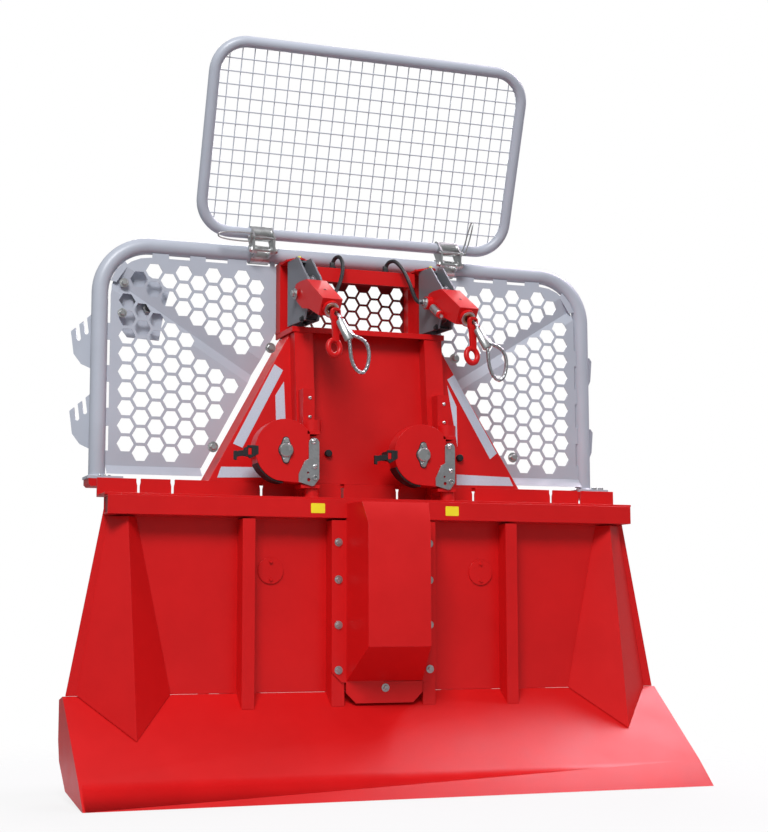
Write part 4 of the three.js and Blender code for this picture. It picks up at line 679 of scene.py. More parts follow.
for material, singles, pairs in FINISH:
    paired = [f"{pair}_{name}" for pair in pairs.split() for name, _ in SIDES]
    for node_name in singles.split() + paired:
        dress(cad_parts[node_name], material)

# Guard tube with its foot plates

GUARD_X, GUARD_Y, GUARD_LOW, GUARD_TOP, GUARD_RADIUS, GUARD_BEND = 786, 275, 885, 1579, 24.15, 148
FOOT_NEAR, FOOT_FAR, FOOT_DEEP, FOOT_LOW, FOOT_THICK = -34, 70, 40, 881.3, 8
FOOT_BEAD = ((24, 0), (30, 0), (27, 3), (24.4, 6))
# For each foot: where its bolts stand across, how deep, and their size across the flats
FOOT_BOLTS = (((-783, -769, -756), 241, 7), ((819, 842), 260, 16))


def guard_tube():
    piece = Piece("guard_tube_bent", "winch", "grey")
    path = [(-GUARD_X, GUARD_Y, GUARD_LOW)]
    for side, span in ((-1, (180, 90)), (1, (90, 0))):
        centre = (side * (GUARD_X - GUARD_BEND), GUARD_TOP - GUARD_BEND)
        path += [(x, GUARD_Y, z) for x, z in circle(GUARD_BEND, centre, 72, *span)]
    path.append((GUARD_X, GUARD_Y, GUARD_LOW))
    piece.tube(path, GUARD_RADIUS, GREY, sides=40)
    ys = (GUARD_Y - FOOT_DEEP, GUARD_Y + FOOT_DEEP)
    top = FOOT_LOW + FOOT_THICK
    for side, (across, bolt_y, flats) in zip((-1, 1), FOOT_BOLTS):
        x = side * GUARD_X
        piece.box((x + FOOT_NEAR, x + FOOT_FAR), ys, (FOOT_LOW, top), GREY)
        piece.lathe(FOOT_BEAD, (x, GUARD_Y, top), Z, GREY, 32)
        for bolt_x in across:
            piece.hex_bolt((bolt_x, bolt_y, top), Z, flats, washer=False)
    piece.done(bevel=1.2, replaces=("guard_tube",))


guard_tube()

# Folding screen, in its own frame: the tube's middle line is TUBE_Y deep and starts at TUBE_Z

TUBE_Y, TUBE_Z = 47.64, 42.03
SCREEN_HALF, SCREEN_HEIGHT, SCREEN_CORNER, SCREEN_RADIUS = 495, 562, 95, 16.85
WIRE_RADIUS, WIRE_SIDES, WIRE_OVERLAP = 1.7, 8, 2
WIRES_X = [-453.4 + 37.47 * i for i in range(25)]
WIRES_Z = [511.5 - 38.2 * i for i in range(13)]


def screen_frame():
    piece = Piece("screen_tube_bent", "screen", "grey", SCREEN)
    path = []
    low, high = TUBE_Z + SCREEN_CORNER, TUBE_Z + SCREEN_HEIGHT - SCREEN_CORNER
    reach = SCREEN_HALF - SCREEN_CORNER
    for x, z, start in ((reach, high, 90), (reach, low, 0), (-reach, low, -90), (-reach, high, -180)):
        path += [(a, TUBE_Y, b) for a, b in circle(SCREEN_CORNER, (x, z), 56, start, start - 90)]
    piece.tube(path, SCREEN_RADIUS, GREY, sides=32, closed=True)
    piece.done(replaces=("screen_tube",))


def wire_reach(offset, limit, other):
    """How far a wire runs before the rounded corner of the opening."""
    bend = SCREEN_CORNER - SCREEN_RADIUS + WIRE_OVERLAP
    beyond = abs(offset) - (limit - bend)
    if beyond <= 0:
        return other
    return other - bend + math.sqrt(max(0.0, bend ** 2 - beyond ** 2))


def screen_wires():
    """Welded wires that end inside the tube, upright ones behind and level ones in front."""
    piece = Piece("screen_wire_mesh", "screen", "grey", SCREEN)
    half = SCREEN_HALF - SCREEN_RADIUS + WIRE_OVERLAP
    middle = SCREEN_HEIGHT / 2
    rise = middle - SCREEN_RADIUS + WIRE_OVERLAP
    apart = WIRE_RADIUS * 0.8
    for x in WIRES_X:
        end = wire_reach(x, half, rise)
        y, centre = TUBE_Y + apart, TUBE_Z + middle
        piece.tube([(x, y, centre - end), (x, y, centre + end)], WIRE_RADIUS, GREY, WIRE_SIDES)
    for z in WIRES_Z:
        end = wire_reach(z - middle, rise, half)
        y = TUBE_Y - apart
        piece.tube([(-end, y, TUBE_Z + z), (end, y, TUBE_Z + z)], WIRE_RADIUS, GREY, WIRE_SIDES)
    piece.done(replaces=("screen_mesh",))


screen_frame()
screen_wires()

# Screen lock pins: the right bail stands up, the left one lies along the tube

PIN_X, PIN_Y, PIN_Z, PIN_OUT = 305, 4, 36, 34.9
PIN_BODY = ((0, -38), (3, -38), (4, -35), (4, PIN_OUT + 16), (0, PIN_OUT + 16))
BAIL_WIRE, BAIL_BAR = 2.2, 4
BAIL_UP = (
    (0, -12, 0), (8, -13, 30), (14, -12, 70), (17, -8, 95), (18, 0, 101), (17, 8, 95), (14, 12, 70),
    (8, 13, 30), (0, 12, 0),
)
BAIL_FLAT = (
    (0, 0, -12), (-30, 0, -13), (-72, 0, -11), (-96, 0, -6), (-101, 0, 0), (-96, 0, 6), (-72, 0, 11),
    (-30, 0, 13), (0, 0, 12),
)
NUT_X, NUT_FLATS = 34.8, 15


def lock_pin(name, side):
    piece = Piece(f"lock_pin_wire_{name}", f"lock_pin_{name}", "zinc", SCREEN)
    centre = side * PIN_X
    outward = (side, 0, 0)
    piece.lathe(PIN_BODY, (centre, PIN_Y, PIN_Z), outward, ZINC, 20)
    piece.ring((centre + side * PIN_OUT, PIN_Y, PIN_Z), outward, 8, 3.9, 4, ZINC, 24)
    root = centre + side * (PIN_OUT + 7)
    if side > 0:
        y, bail, (dy, dz) = PIN_Y, BAIL_UP, (16, 0)
    else:
        y, bail, (dy, dz) = PIN_Y - 6, BAIL_FLAT, (0, 16)
    piece.tube([(root, y - dy, PIN_Z - dz), (root, y + dy, PIN_Z + dz)], BAIL_BAR, ZINC, 14)
    if side < 0:
        piece.disc((root, PIN_Y, PIN_Z), FRONT, 4, 8, ZINC, 14)
    loop = [(root + a, y + b, PIN_Z + c) for a, b, c in bail]
    piece.tube(smooth(loop, 5), BAIL_WIRE, ZINC, 10)
    piece.done(replaces=(f"screen_lock_pin_{name}",))
    nuts = Piece(f"clamp_nuts_{name}", "screen", "zinc", SCREEN)
    for way in (-1, 1):
        nuts.hex_bolt((centre + way * NUT_X, 0, 0), (way, 0, 0), NUT_FLATS)
    nuts.done()


for name, side in SIDES:
    lock_pin(name, side)

# Tower: strips, screws and buffers, placed by X and Z on its leaning face

STRIP_THICK, STRIP_SUNK = 0.6, 0.05
STRIPS = (
    ((-285, 1228), (-259, 1211), (-388, 973.5), (-416, 985)),
    ((-284.5, 1134), (-257, 1177), (-255, 1055), (-284, 1055.5)),
    ((-453, 916), (-330, 918), (-331, 888), (-465, 884)),
    ((268, 1208.5), (291, 1224.7), (422.6, 984), (399, 965)),
    ((267, 1190), (295, 1125.5), (292, 1000)),
    ((285, 914.5), (460, 910.5), (472, 884), (283, 882)),
)
DUCT_X, DUCT_SHIFT, DUCT_Y, DUCT_RADIUS = 211, 3, 61.9, 5.6
DUCT_ZS = (1118, 1062)
TOWER_BOLTS, TOWER_BOLT_FLATS = ((296, 1277), (476, 973)), 17
BUFFERS_X, BUFFER_Z, BUFFER_SUNK = (-127, 295), 965, 0.4
BUFFER = ((0, 0), (10.4, 0), (10.4, 1), (11, 4), (11, 10), (9, 13), (0, 13.6))


def tower_trim():
    strips = Piece("reflective_strips", "winch", "grey")
    lean = Vector((0, math.tan(TOWER_LEAN), 1))
    for outline in STRIPS:
        strips.slab(outline, X, lean, (0, tower_y(0) - STRIP_SUNK, 0), STRIP_THICK, FILM)
    strips.done()
    bits = Piece("tower_fasteners", "winch", "zinc")
    for side in (-1, 1):
        for z in DUCT_ZS:
            x = side * DUCT_X + DUCT_SHIFT
            bits.round_bolt((x, DUCT_Y, z), FRONT, DUCT_RADIUS)
        for x, z in TOWER_BOLTS:
            bits.hex_bolt((side * x, tower_y(z), z), FRONT, TOWER_BOLT_FLATS)
    bits.done()
    pads = Piece("rubber_buffers", "winch", "rubber")
    for x in BUFFERS_X:
        pads.lathe(BUFFER, (x, tower_y(BUFFER_Z) - BUFFER_SUNK, BUFFER_Z), FRONT, RUBBER, 28)
    pads.done()


tower_trim()

# Blade: stickers, cover bolts, discs and the top beam's end plates

STICKERS_X, STICKER_Z = (-203, 212), 793
STICKER_HALF, STICKER_RISE, STICKER_CORNER, STICKER_DEPTH = 18, 11, 3, (-0.5, 0.7)
COVER_BOLT_X, COVER_BOLT_Y = 140, 3
COVER_BOLTS_Z, FOOT_BOLT_X, FOOT_BOLT_Z = (697, 591, 462, 335), 2, 284
DISC_X, DISC_Y, DISC_Z, DISC_RADIUS, DISC_THICK = 326, 58, 616, 37.5, 3.4
DISC_BOLT_Y, DISC_BOLT_RISE, DISC_BOLT_FLATS = 54.8, 25, 8
BEAM_END_XS, BEAM_END_YS, BEAM_END_ZS = (800, 803.5), (5.3, 53.4), (771.3, 813.7)


def blade_trim():
    stickers = Piece("yellow_stickers", "winch", "red")
    a, b = STICKER_HALF, STICKER_RISE
    for x in STICKERS_X:
        outline = []
        for turn, (dx, dz) in enumerate(((-a, -b), (a, -b), (a, b), (-a, b))):
            start = 180 + 90 * turn
            outline += circle(STICKER_CORNER, (x + dx, STICKER_Z + dz), 12, start, start + 90)
        stickers.front(outline, *STICKER_DEPTH, YELLOW)
    stickers.done()
    bits = Piece("cover_bolts", "winch", "zinc")
    for x in (-COVER_BOLT_X, COVER_BOLT_X):
        for z in COVER_BOLTS_Z:
            bits.hex_bolt((x, COVER_BOLT_Y, z), FRONT, BOLT_FLATS)
    bits.hex_bolt((FOOT_BOLT_X, COVER_BOLT_Y, FOOT_BOLT_Z), FRONT, BOLT_FLATS)
    bits.done()
    discs = Piece("inspection_discs", "winch", "red")
    for side in (-1, 1):
        x = side * DISC_X
        discs.disc((x, DISC_Y, DISC_Z), FRONT, DISC_RADIUS, DISC_THICK, RED, 48)
        for dz in (-DISC_BOLT_RISE, DISC_BOLT_RISE):
            discs.hex_bolt((x, DISC_BOLT_Y, DISC_Z + dz), FRONT, DISC_BOLT_FLATS, RED)
    discs.done()


def beam_ends():
    """Plates that close the hollow ends of the top beam, darker red as painted shade."""
    caps = Piece("beam_end_caps", "winch", "red")
    for side in (-1, 1):
        caps.box(sorted(side * x for x in BEAM_END_XS), BEAM_END_YS, BEAM_END_ZS, DEEP_RED_AND_SHADE)
    caps.done(bevel=0.8)


blade_trim()
beam_ends()

# Lower pulleys, in a frame whose Z axis is the hinge. Each depth holds a front's Y and a thickness.

SHEAVE_X, SHEAVE_Z = -86, 957
COVER_RADIUS, COVER_SHEET, COVER_EDGE, COVER_FOOT = 90, 5, -14, 862
COVER_FRONT, COVER_BACK, COVER_HALF, WALL_HALF = -28, 23, 28, 23.2
# Each lug by its span along X and along Z, and each hinge boss by its foot and height
LUGS = (((-22, 16), (1005.7, 1015.7)), ((-40, 16), (850.3, 860.3)))
BOSS_RADIUS, BOSSES = 15.9, ((1005.7, 36), (830, 25))
LIP_RADIUS, LIP_DEPTH, LIP_ARC = 94.5, (-24, 50), (205, 266)
LATCH_SEAT = [(-177.5, 967), (-167, 967), (-167, 944), (-177.5, 937.8)]
SEAT_DEPTH = (-29.4, 1.5)

KEEPER_RADIUS, KEEPER_EAR, KEEPER_REACH, KEEPER_FRONT = 20.5, 8.6, 28, -31.2
GASKET_GROW, GASKET_DEPTH = 2.2, (-29.2, 1.2)
AXLE_CAP = ((0, 0), (20, 0), (20, 5), (18, 7), (0, 7.6))
KEEPER_RIVET = (7.4, 4.5)
AXLE_NUT_FLATS = 26

STRAP_FRONT, STRAP_THICK = -33.5, 4
STRAP = circle(15.6, (-3, 979), 32, 0, 180) + [
    (-18.6, 934), (-31, 927), (-49, 889), (-49, 867), (-10, 856), (-3, 857), (12.6, 878),
]
STRAP_HOLES = [circle(3.2, (-21, 894), 16), circle(5, (-19, 874), 20)]
STRAP_BOLTS = ((-5, 984, 8.5), (-1, 912, 7.5))
STRAP_SPACER = ((-15, 12), (-29.4, -27), (930, 985))
STRAP_EYE_Z, STRAP_EYE = 880, (7.6, 4.4, 5)

WHEEL_BORE, WHEEL_RIM, WHEEL_HALF, WHEEL_EDGE = 13, 76, 15, 9
GROOVE_FLOOR, GROOVE_RADIUS = 66.5, 6.5

BUCKLE_DEPTH, WINDOW_DEPTH, TONGUE_DEPTH, TIP_DEPTH = (-34.5, 7), (-32.5, 2), (-33, 5), (-35, 10)
LATCH_BLOCK = [(-198, 941), (-178, 939), (-176.6, 945), (-176.4, 960), (-178, 965), (-196, 965)]
LATCH_HALF = 27
BUCKLE = [(-201, 967), (-178, 967), (-178, 937.5), (-193, 929), (-201, 936)]
WINDOW = [(-199, 960), (-188, 960), (-188, 940), (-199, 940)]
WINDOW_PLATE = [(-198.6, 940.4), (-188.4, 940.4), (-188.4, 959.6), (-198.6, 959.6)]
TONGUE = [(-236, 930), (-236, 946), (-226, 951), (-200, 954), (-200, 938), (-226, 934)]
TIP = [(-240, 925), (-232, 924), (-232, 950), (-240, 950)]
RIBS_X, RIB_WIDE, RIB_YS, RIB_ZS = (-222, -215, -208), 2.4, (-34, -32.6), (938, 951)


def pulley_rim(radius, foot):
    """Outline of a cover sheet round the sheave, with a straight edge towards the hinge."""
    start = math.degrees(math.acos((COVER_EDGE - SHEAVE_X) / COVER_RADIUS))
    return circle(radius, (SHEAVE_X, SHEAVE_Z), 72, start, 255) + [(COVER_EDGE, foot)]


def pulley_cover(name):
    cover = Piece(f"pulley_cover_{name}", f"lower_pulley_{name}", "red", PULLEY[name])
    rim = pulley_rim(COVER_RADIUS, COVER_FOOT)
    inner = pulley_rim(COVER_RADIUS - COVER_SHEET, COVER_FOOT + COVER_SHEET)
    for y in (COVER_FRONT, COVER_BACK):
        cover.front(rim, y, COVER_SHEET, RED)
    cover.front(rim + inner[::-1], -WALL_HALF, 2 * WALL_HALF, RED)
    for xs, zs in LUGS:
        cover.box(xs, (-COVER_HALF, COVER_HALF), zs, RED)
    centre = (SHEAVE_X, SHEAVE_Z)
    lip = circle(LIP_RADIUS, centre, 72, *LIP_ARC) + circle(COVER_RADIUS, centre, 72, *LIP_ARC)[::-1]
    cover.front(lip, *LIP_DEPTH, RUBBER)
    cover.front(LATCH_SEAT, *SEAT_DEPTH, RUBBER)
    for foot, height in BOSSES:
        cover.disc((0, 0, foot), Z, BOSS_RADIUS, height, RED, 28)
    cover.done(bevel=1.4, replaces=(f"pulley_body_{name}",))


def keeper_outline(grow):
    """The axle's keeper plate: a round middle with an ear above and below."""
    outline = []
    for start, reach in ((0, KEEPER_REACH), (180, -KEEPER_REACH)):
        outline += circle(KEEPER_RADIUS + grow, (0, 0), 40, start - 50, start + 50)
        outline += circle(KEEPER_EAR + grow, (0, reach), 24, start + 30, start + 150)
    return [(SHEAVE_X + a, SHEAVE_Z + b) for a, b in outline]


def pulley_cap(name):
    cap = Piece(f"pulley_cap_{name}", f"lower_pulley_{name}", "zinc", PULLEY[name])
    cap.front(keeper_outline(GASKET_GROW), *GASKET_DEPTH, DARK)
    cap.front(keeper_outline(0), KEEPER_FRONT, 2, STRAP_ZINC)
    cap.lathe(AXLE_CAP, (SHEAVE_X, KEEPER_FRONT, SHEAVE_Z), FRONT, ZINC, 40)
    for dz in (-KEEPER_REACH, KEEPER_REACH):
        cap.disc((SHEAVE_X, KEEPER_FRONT, SHEAVE_Z + dz), FRONT, *KEEPER_RIVET, ZINC, 24)
    cap.hex_bolt((SHEAVE_X, COVER_HALF, SHEAVE_Z), BACK, AXLE_NUT_FLATS)
    cap.done()


def pulley_strap(name):
    """The sheet that holds the hinge side of the cover, with its bolts and eye."""
    strap = Piece(f"pulley_strap_{name}", f"lower_pulley_{name}", "zinc", PULLEY[name])
    strap.front(STRAP, STRAP_FRONT, STRAP_THICK, STRAP_ZINC, holes=STRAP_HOLES)
    for x, z, radius in STRAP_BOLTS:
        strap.round_bolt((x, STRAP_FRONT, z), FRONT, radius)
    strap.box(*STRAP_SPACER, STRAP_ZINC)
    strap.ring((0, STRAP_FRONT, STRAP_EYE_Z), FRONT, *STRAP_EYE, ZINC, 28)
    strap.done(bevel=0.6)


def pulley_wheel(name):
    wheel = Piece(f"pulley_wheel_{name}", f"lower_wheel_{name}", "steel", PULLEY[name])
    profile = [(WHEEL_BORE, -WHEEL_HALF), (WHEEL_RIM, -WHEEL_HALF), (WHEEL_RIM, -WHEEL_EDGE)]
    for degrees in range(-80, 81, 20):
        a = math.radians(degrees)
        profile.append((GROOVE_FLOOR + GROOVE_RADIUS * (1 - math.cos(a)), GROOVE_RADIUS * math.sin(a)))
    profile += [(WHEEL_RIM, WHEEL_EDGE), (WHEEL_RIM, WHEEL_HALF), (WHEEL_BORE, WHEEL_HALF)]
    wheel.lathe(profile, (SHEAVE_X, 0, SHEAVE_Z), BACK, STEEL, 56)
    wheel.done(replaces=(f"pulley_sheave_{name}",))


def pulley_latch(name):
    """The rubber latch: a block round the cover, a buckle with its window, and a ribbed tongue."""
    latch = Piece(f"pulley_latch_rubber_{name}", f"latch_{name}", "rubber", PULLEY[name])
    latch.front(LATCH_BLOCK, -LATCH_HALF, 2 * LATCH_HALF, RUBBER)
    latch.front(BUCKLE, *BUCKLE_DEPTH, RUBBER, holes=[WINDOW])
    latch.front(WINDOW_PLATE, *WINDOW_DEPTH, RED)
    latch.front(TONGUE, *TONGUE_DEPTH, RUBBER)
    latch.front(TIP, *TIP_DEPTH, RUBBER)
    for x in RIBS_X:
        latch.box((x, x + RIB_WIDE), RIB_YS, RIB_ZS, RUBBER)
    latch.done(bevel=1.2, replaces=(f"pulley_latch_{name}",))


for name, _ in SIDES:
    for make in (pulley_cover, pulley_cap, pulley_strap, pulley_wheel, pulley_latch):
        make(name)

# Heads: rings, bolts, caps and lock cylinders, in the head's frame

# The fairlead's ring and bush each by outer radius, bore and height
FAIRLEAD_AT, FAIRLEAD_RING, FAIRLEAD_BUSH = (184.8, 36), (23, 16.4, 12.8), (16.5, 12.2, 13.6)
# A dark disc on each arm stands for a hole: painted shade.
ARM_HOLE_SHADE_AT, ARM_HOLE_SHADE = (118, 65.9), (3.6, 1.0)
PIVOT_OUT, PIVOT_IN, PIVOT_FLATS = 36.8, 46.8, 18
ARM_HALF, CYLINDER_OFFSET, CYLINDER_LOW, CYLINDER_HIGH = 31, 11, (40, 4), (106, 4)
CYLINDER = (
    (0, 0), (8.5, 0), (8.5, 3), (11.6, 5), (11.6, 52), (9, 55), (9, 60), (5, 62), (5, 70), (0, 70),
)
GREASE_CAP_AT, GREASE_CAP = (-2, -10, 205), ((0, 0), (5.5, 0), (6, 3), (6, 9), (4, 12), (0, 12.6))
STOP_X, STOP_Y, STOP_Z, STOP_FLATS = 24, -88, 12, 12
STOP_PIN = ((0, 0), (4.2, 0), (4.2, 50), (3.2, 53), (0, 54))


def head_trim(name, side):
    where, inward = HEAD[name], -side
    arm = Piece(f"arm_fittings_{name}", f"arm_{name}", "zinc", where)
    pivot = arm_point(0, 0)
    for ring, material in ((FAIRLEAD_RING, ZINC), (FAIRLEAD_BUSH, BRASS)):
        arm.ring(arm_point(*FAIRLEAD_AT), arm_point(1, 0) - pivot, *ring, material, 40)
    # Dark disc for the arm's hole, painted shade.
    arm.disc(arm_point(*ARM_HOLE_SHADE_AT), arm_point(0, 1) - pivot, *ARM_HOLE_SHADE, DARK, 16)
    for way, reach in ((-inward, PIVOT_OUT), (inward, PIVOT_IN)):
        arm.hex_bolt(pivot + X * (way * reach), (way, 0, 0), PIVOT_FLATS)
    x = inward * (ARM_HALF + CYLINDER_OFFSET)
    low, high = arm_point(*CYLINDER_LOW, x), arm_point(*CYLINDER_HIGH, x)
    along = (high - low).normalized()
    arm.lathe(CYLINDER, low, along, ZINC, 28)
    arm.hex_bolt(low, -along, 10, washer=False)
    arm.done()
    cap = Piece(f"grease_cap_{name}", f"head_{name}", "zinc", where)
    cap.lathe(GREASE_CAP, GREASE_CAP_AT, Z, CAP_YELLOW, 20)
    cap.lathe(STOP_PIN, (STOP_X, STOP_Y, STOP_Z), (-1, 0, 0), DARK, 18)
    cap.hex_bolt((-STOP_X, STOP_Y, STOP_Z), (-1, 0, 0), STOP_FLATS, DARK)
    cap.done()


for name, side in SIDES:
    head_trim(name, side)

# Tool holder behind the left guard sheet

HOLDER_BOSSES, HOLDER_BOLTS = ((-672, 1420), (-641, 1395)), ((-718, 1462), (-722, 1372))
HOLDER_BOSS_Y, HOLDER_TIP_Y, HOLDER_BOLT_Y = 290, 282, 262


def tool_holder():
    piece = Piece("tool_holder_bits", "winch", "dark")
    for x, z in HOLDER_BOSSES:
        piece.disc((x, HOLDER_BOSS_Y, z), FRONT, 17, 8, STEEL, 6)
        piece.disc((x, HOLDER_TIP_Y, z), FRONT, 9, 4, DARK, 24)
    for x, z in HOLDER_BOLTS:
        piece.hex_bolt((x, HOLDER_BOLT_Y, z), FRONT, 15)
    piece.done()


tool_holder()

# Rear: drums with wound rope, shaft ends, tank, valves, pins

DRUM_Y, DRUM_Z, DRUM_LOW, DRUM_HIGH = 235, 490, 86, 330
DRUM_BORE, DRUM_CORE, DRUM_FLANGE = 25.3, 104, 155
WOUND_PITCH, WOUND_START, WOUND_MARGIN, WOUND_RISE, WOUND_STEPS = 11.2, 17.5, 24, 5, 32
BEARING_X, BEARING_RING_X, BEARING_RING = 362, 361.8, (60, 27, 3)
BEARING_CIRCLE = 46
REAR_BOLT_X, REAR_BOLT_Y, REAR_BOLTS_Z = 335, 425, (380, 560, 700)
LINK_X, LINK_HALF, LINK_Y, LINK_Z, LINK_RING = 412, 50, 440, 480, (19, 13.8, 3)

CASE_Y, CASE_Z, CASE_BOLTS_X, CASE_BOLTS_Z = 480, 490, 62, 60
CASE_RING, RING_BOLT_Y, RING_BOLT_CIRCLE, RING_BOLT_FLATS = (48, 33, 6), 485.8, 41, 7
SPLINE = [(-4, 0), (4, 0), (4, 2.2), (-4, 2.2)]
SPLINE_START, SPLINE_LENGTH, SPLINE_RADIUS = 492, 54, 16.6

TANK_X, FILLER_Y, FILLER_Z = 480, 262, 683
FILLER_CAP = ((0, 0), (27, 0), (29, 3), (29, 12), (26, 16), (0, 17))
DRAIN_Y, DRAIN_Z = 250, 540
PORTS = ((-430, 602), (-490, 602), (-430, 658), (-490, 658))
PORT_NUT = ((0, 0), (9, 0), (9, 8), (7.4, 9), (7.4, 18), (0, 18))
PORT_NUT_Y, PIPE_RADIUS, PORT_Y, PIPE_END_X = 204, 6, 205, -366
PIPE_BENDS = ((0, 232, 0), (12, 248, 20), (40, 252, 60))


def drum(name, side):
    piece = Piece(f"drum_wound_{name}", f"drum_{name}_body", "steel")
    low, high = DRUM_LOW, DRUM_HIGH
    profile = [
        (DRUM_BORE, low), (DRUM_FLANGE, low), (DRUM_FLANGE, low + 8), (DRUM_CORE, low + 10),
        (DRUM_CORE, high - 10), (DRUM_FLANGE, high - 8), (DRUM_FLANGE, high), (DRUM_BORE, high),
    ]
    piece.lathe(profile, (0, DRUM_Y, DRUM_Z), (side, 0, 0), DEEP_RED_AND_SHADE, 64)
    rounds = int((high - low - WOUND_MARGIN) / WOUND_PITCH)
    radius = DRUM_CORE + WOUND_RISE
    path = []
    for i in range(rounds * WOUND_STEPS + 1):
        angle = 2 * math.pi * i / WOUND_STEPS
        along = low + WOUND_START + i / WOUND_STEPS * WOUND_PITCH
        path.append((side * along, DRUM_Y + radius * math.cos(angle), DRUM_Z + radius * math.sin(angle)))
    piece.tube(path, ROPE_RADIUS, ROPE_STEEL, sides=10)
    piece.done(replaces=(f"drum_{name}",))


def rear_fasteners():
    bits = Piece("rear_fasteners", "winch", "zinc")
    for side in (-1, 1):
        outward = (side, 0, 0)
        for a in sixths():
            y = DRUM_Y + BEARING_CIRCLE * math.cos(a)
            z = DRUM_Z + BEARING_CIRCLE * math.sin(a)
            bits.hex_bolt((side * BEARING_X, y, z), outward, BOLT_FLATS)
        centre = (side * BEARING_RING_X, DRUM_Y, DRUM_Z)
        bits.ring(centre, outward, *BEARING_RING, CAST_GREY, 48)
        for z in REAR_BOLTS_Z:
            bits.hex_bolt((side * REAR_BOLT_X, REAR_BOLT_Y, z), BACK, BOLT_FLATS)
        for way in (-1, 1):
            end = (side * LINK_X + way * LINK_HALF, LINK_Y, LINK_Z)
            bits.ring(end, (way, 0, 0), *LINK_RING, ZINC, 28)
    bits.done()


def gear_case_trim():
    case = Piece("gear_case_ribs", "winch", "dark")
    for a in sixths(30):
        x, dz = RING_BOLT_CIRCLE * math.cos(a), RING_BOLT_CIRCLE * math.sin(a)
        case.hex_bolt((x, RING_BOLT_Y, CASE_Z + dz), BACK, RING_BOLT_FLATS)
    for dz in (-CASE_BOLTS_Z, CASE_BOLTS_Z, 0):
        for x in (-CASE_BOLTS_X, CASE_BOLTS_X):
            case.hex_bolt((x, CASE_Y, CASE_Z + dz), BACK, BOLT_FLATS)
    case.ring((0, CASE_Y, CASE_Z), BACK, *CASE_RING, CAST_GREY, 40)
    case.done()


def shaft_spline():
    spline = Piece("pto_spline", "input_shaft", "steel")
    for a in sixths():
        direction = Vector((math.cos(a), 0, math.sin(a)))
        across = Vector((-math.sin(a), 0, math.cos(a)))
        base = Vector((0, SPLINE_START, CASE_Z)) + direction * SPLINE_RADIUS
        spline.slab(SPLINE, across, direction, base, -SPLINE_LENGTH, STEEL)
    spline.done(bevel=0.4)


def tank_and_valves():
    tank = Piece("tank_fittings", "winch", "black")
    tank.lathe(FILLER_CAP, (TANK_X, FILLER_Y, FILLER_Z), BACK, DARK, 12)
    tank.disc((TANK_X, DRAIN_Y, DRAIN_Z), BACK, 9, 5, ZINC, 6)
    tank.done()
    pipes = Piece("valve_pipes", "winch", "rubber")
    for x, z in PORTS:
        route = [(x, PORT_Y, z), *((x + a, y, z + b) for a, y, b in PIPE_BENDS)]
        pipes.tube(smooth(route + [(PIPE_END_X, 252, z + 78)], 6), PIPE_RADIUS, HOSE, 12)
        pipes.lathe(PORT_NUT, (x, PORT_NUT_Y, z), BACK, ZINC, 6)
    pipes.done()


for name, side in SIDES:
    drum(name, side)
rear_fasteners()
gear_case_trim()
shaft_spline()
tank_and_valves()

# Stage: pale floor, white surroundings and soft light

WHITE = (1.0, 1.0, 1.0, 1.0)
FLOOR_COLOR, FLOOR_GLOW = (0.6, 0.6, 0.62, 1), 0.82
FLOOR_HALF, FLOOR_Z, FADE_FROM, FADE_TO = 6.0, -0.001, 1.0, 2.3
AMBIENT_COLOR, AMBIENT_BELOW, AMBIENT_ABOVE = (0.97, 0.985, 1.0, 1.0), 0.08, 0.46


def mixed(tree, factor, first, second):
    return added(tree, "MixShader", {0: factor, 1: first, 2: second}).outputs[0]


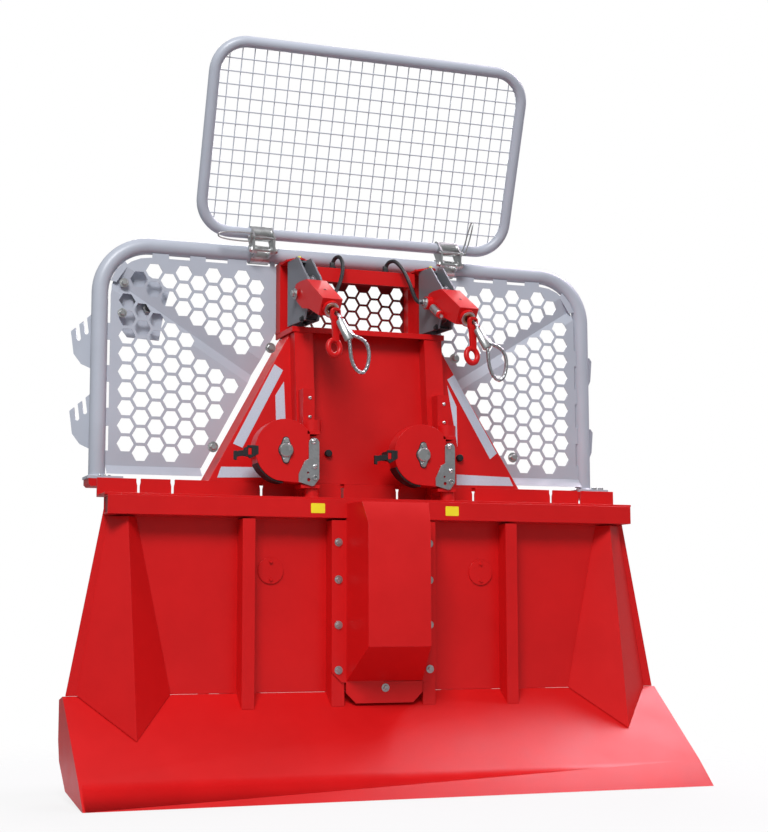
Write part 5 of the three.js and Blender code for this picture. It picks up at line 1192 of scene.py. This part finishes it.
def floor_material():
    """A pale floor that shows faint shadows near the winch and fades out further off."""
    material = bpy.data.materials.new("floor")
    tree, output = new_tree(material, "OutputMaterial")
    pale = added(tree, "BsdfDiffuse", {"Color": FLOOR_COLOR})
    glow = added(tree, "Emission", {"Color": WHITE})
    clear = added(tree, "BsdfTransparent")
    path = added(tree, "LightPath")
    seen = added(tree, "Math", {0: path.outputs["Is Camera Ray"], 1: FLOOR_GLOW})
    seen.operation = "MULTIPLY"
    far = added(tree, "VectorMath", {0: added(tree, "TexCoord").outputs["Object"]})
    far.operation = "LENGTH"
    inputs = {"From Min": FADE_FROM, "From Max": FADE_TO, "Value": far.outputs["Value"]}
    fade = added(tree, "MapRange", inputs)
    fade.interpolation_type = "SMOOTHSTEP"
    lit = mixed(tree, seen.outputs[0], pale.outputs[0], glow.outputs[0])
    assign(tree, output, {0: mixed(tree, fade.outputs["Result"], lit, clear.outputs[0])})
    return material


def floor():
    data = bpy.data.meshes.new("floor")
    a = FLOOR_HALF
    data.from_pydata([(-a, -a, 0), (a, -a, 0), (a, a, 0), (-a, a, 0)], [], [(0, 1, 2, 3)])
    data.materials.append(floor_material())
    made = linked("floor", data)
    made.location.z = FLOOR_Z


def surroundings():
    """White to the camera, and for the winch a plain light that is stronger from above."""
    world = bpy.data.worlds.new("surroundings")
    bpy.context.scene.world = world
    tree, output = new_tree(world, "OutputWorld")
    direction = added(tree, "SeparateXYZ", {0: added(tree, "TexCoord").outputs["Generated"]})
    sky = spread(tree, direction.outputs["Z"], AMBIENT_BELOW, AMBIENT_ABOVE, -1.0)
    ambient = added(tree, "Background", {"Color": AMBIENT_COLOR, "Strength": sky})
    backdrop = added(tree, "Background", {"Color": WHITE})
    path = added(tree, "LightPath").outputs
    either = added(tree, "Math", {0: path["Is Camera Ray"], 1: path["Is Transmission Ray"]})
    either.operation = "MAXIMUM"
    result = mixed(tree, either.outputs[0], ambient.outputs[0], backdrop.outputs[0])
    assign(tree, output, {0: result})


def lamp(name, place, target, size, energy, color=(1.0, 1.0, 1.0)):
    data = bpy.data.lights.new(name, "AREA")
    data.shape = "RECTANGLE"
    data.size, data.size_y = size
    data.energy = energy
    data.color = color
    made = linked(name, data)
    made.location = place
    made.rotation_euler = (Vector(target) - Vector(place)).to_track_quat("-Z", "Y").to_euler()


floor()
surroundings()
lamp("key", (-2.4, -4.6, 5.6), (0, 0, 0.8), (2.6, 2.2), 380)
lamp("toe_sheen", (3.3, 0.7, 4.9), (0.5, -0.1, 0.2), (2.4, 2.2), 185, (1.0, 0.84, 0.96))
lamp("back", (1.5, 4.5, 3.6), (0, 0, 1.0), (3.0, 2.0), 170)

bpy.context.scene.view_settings.view_transform = "Standard"
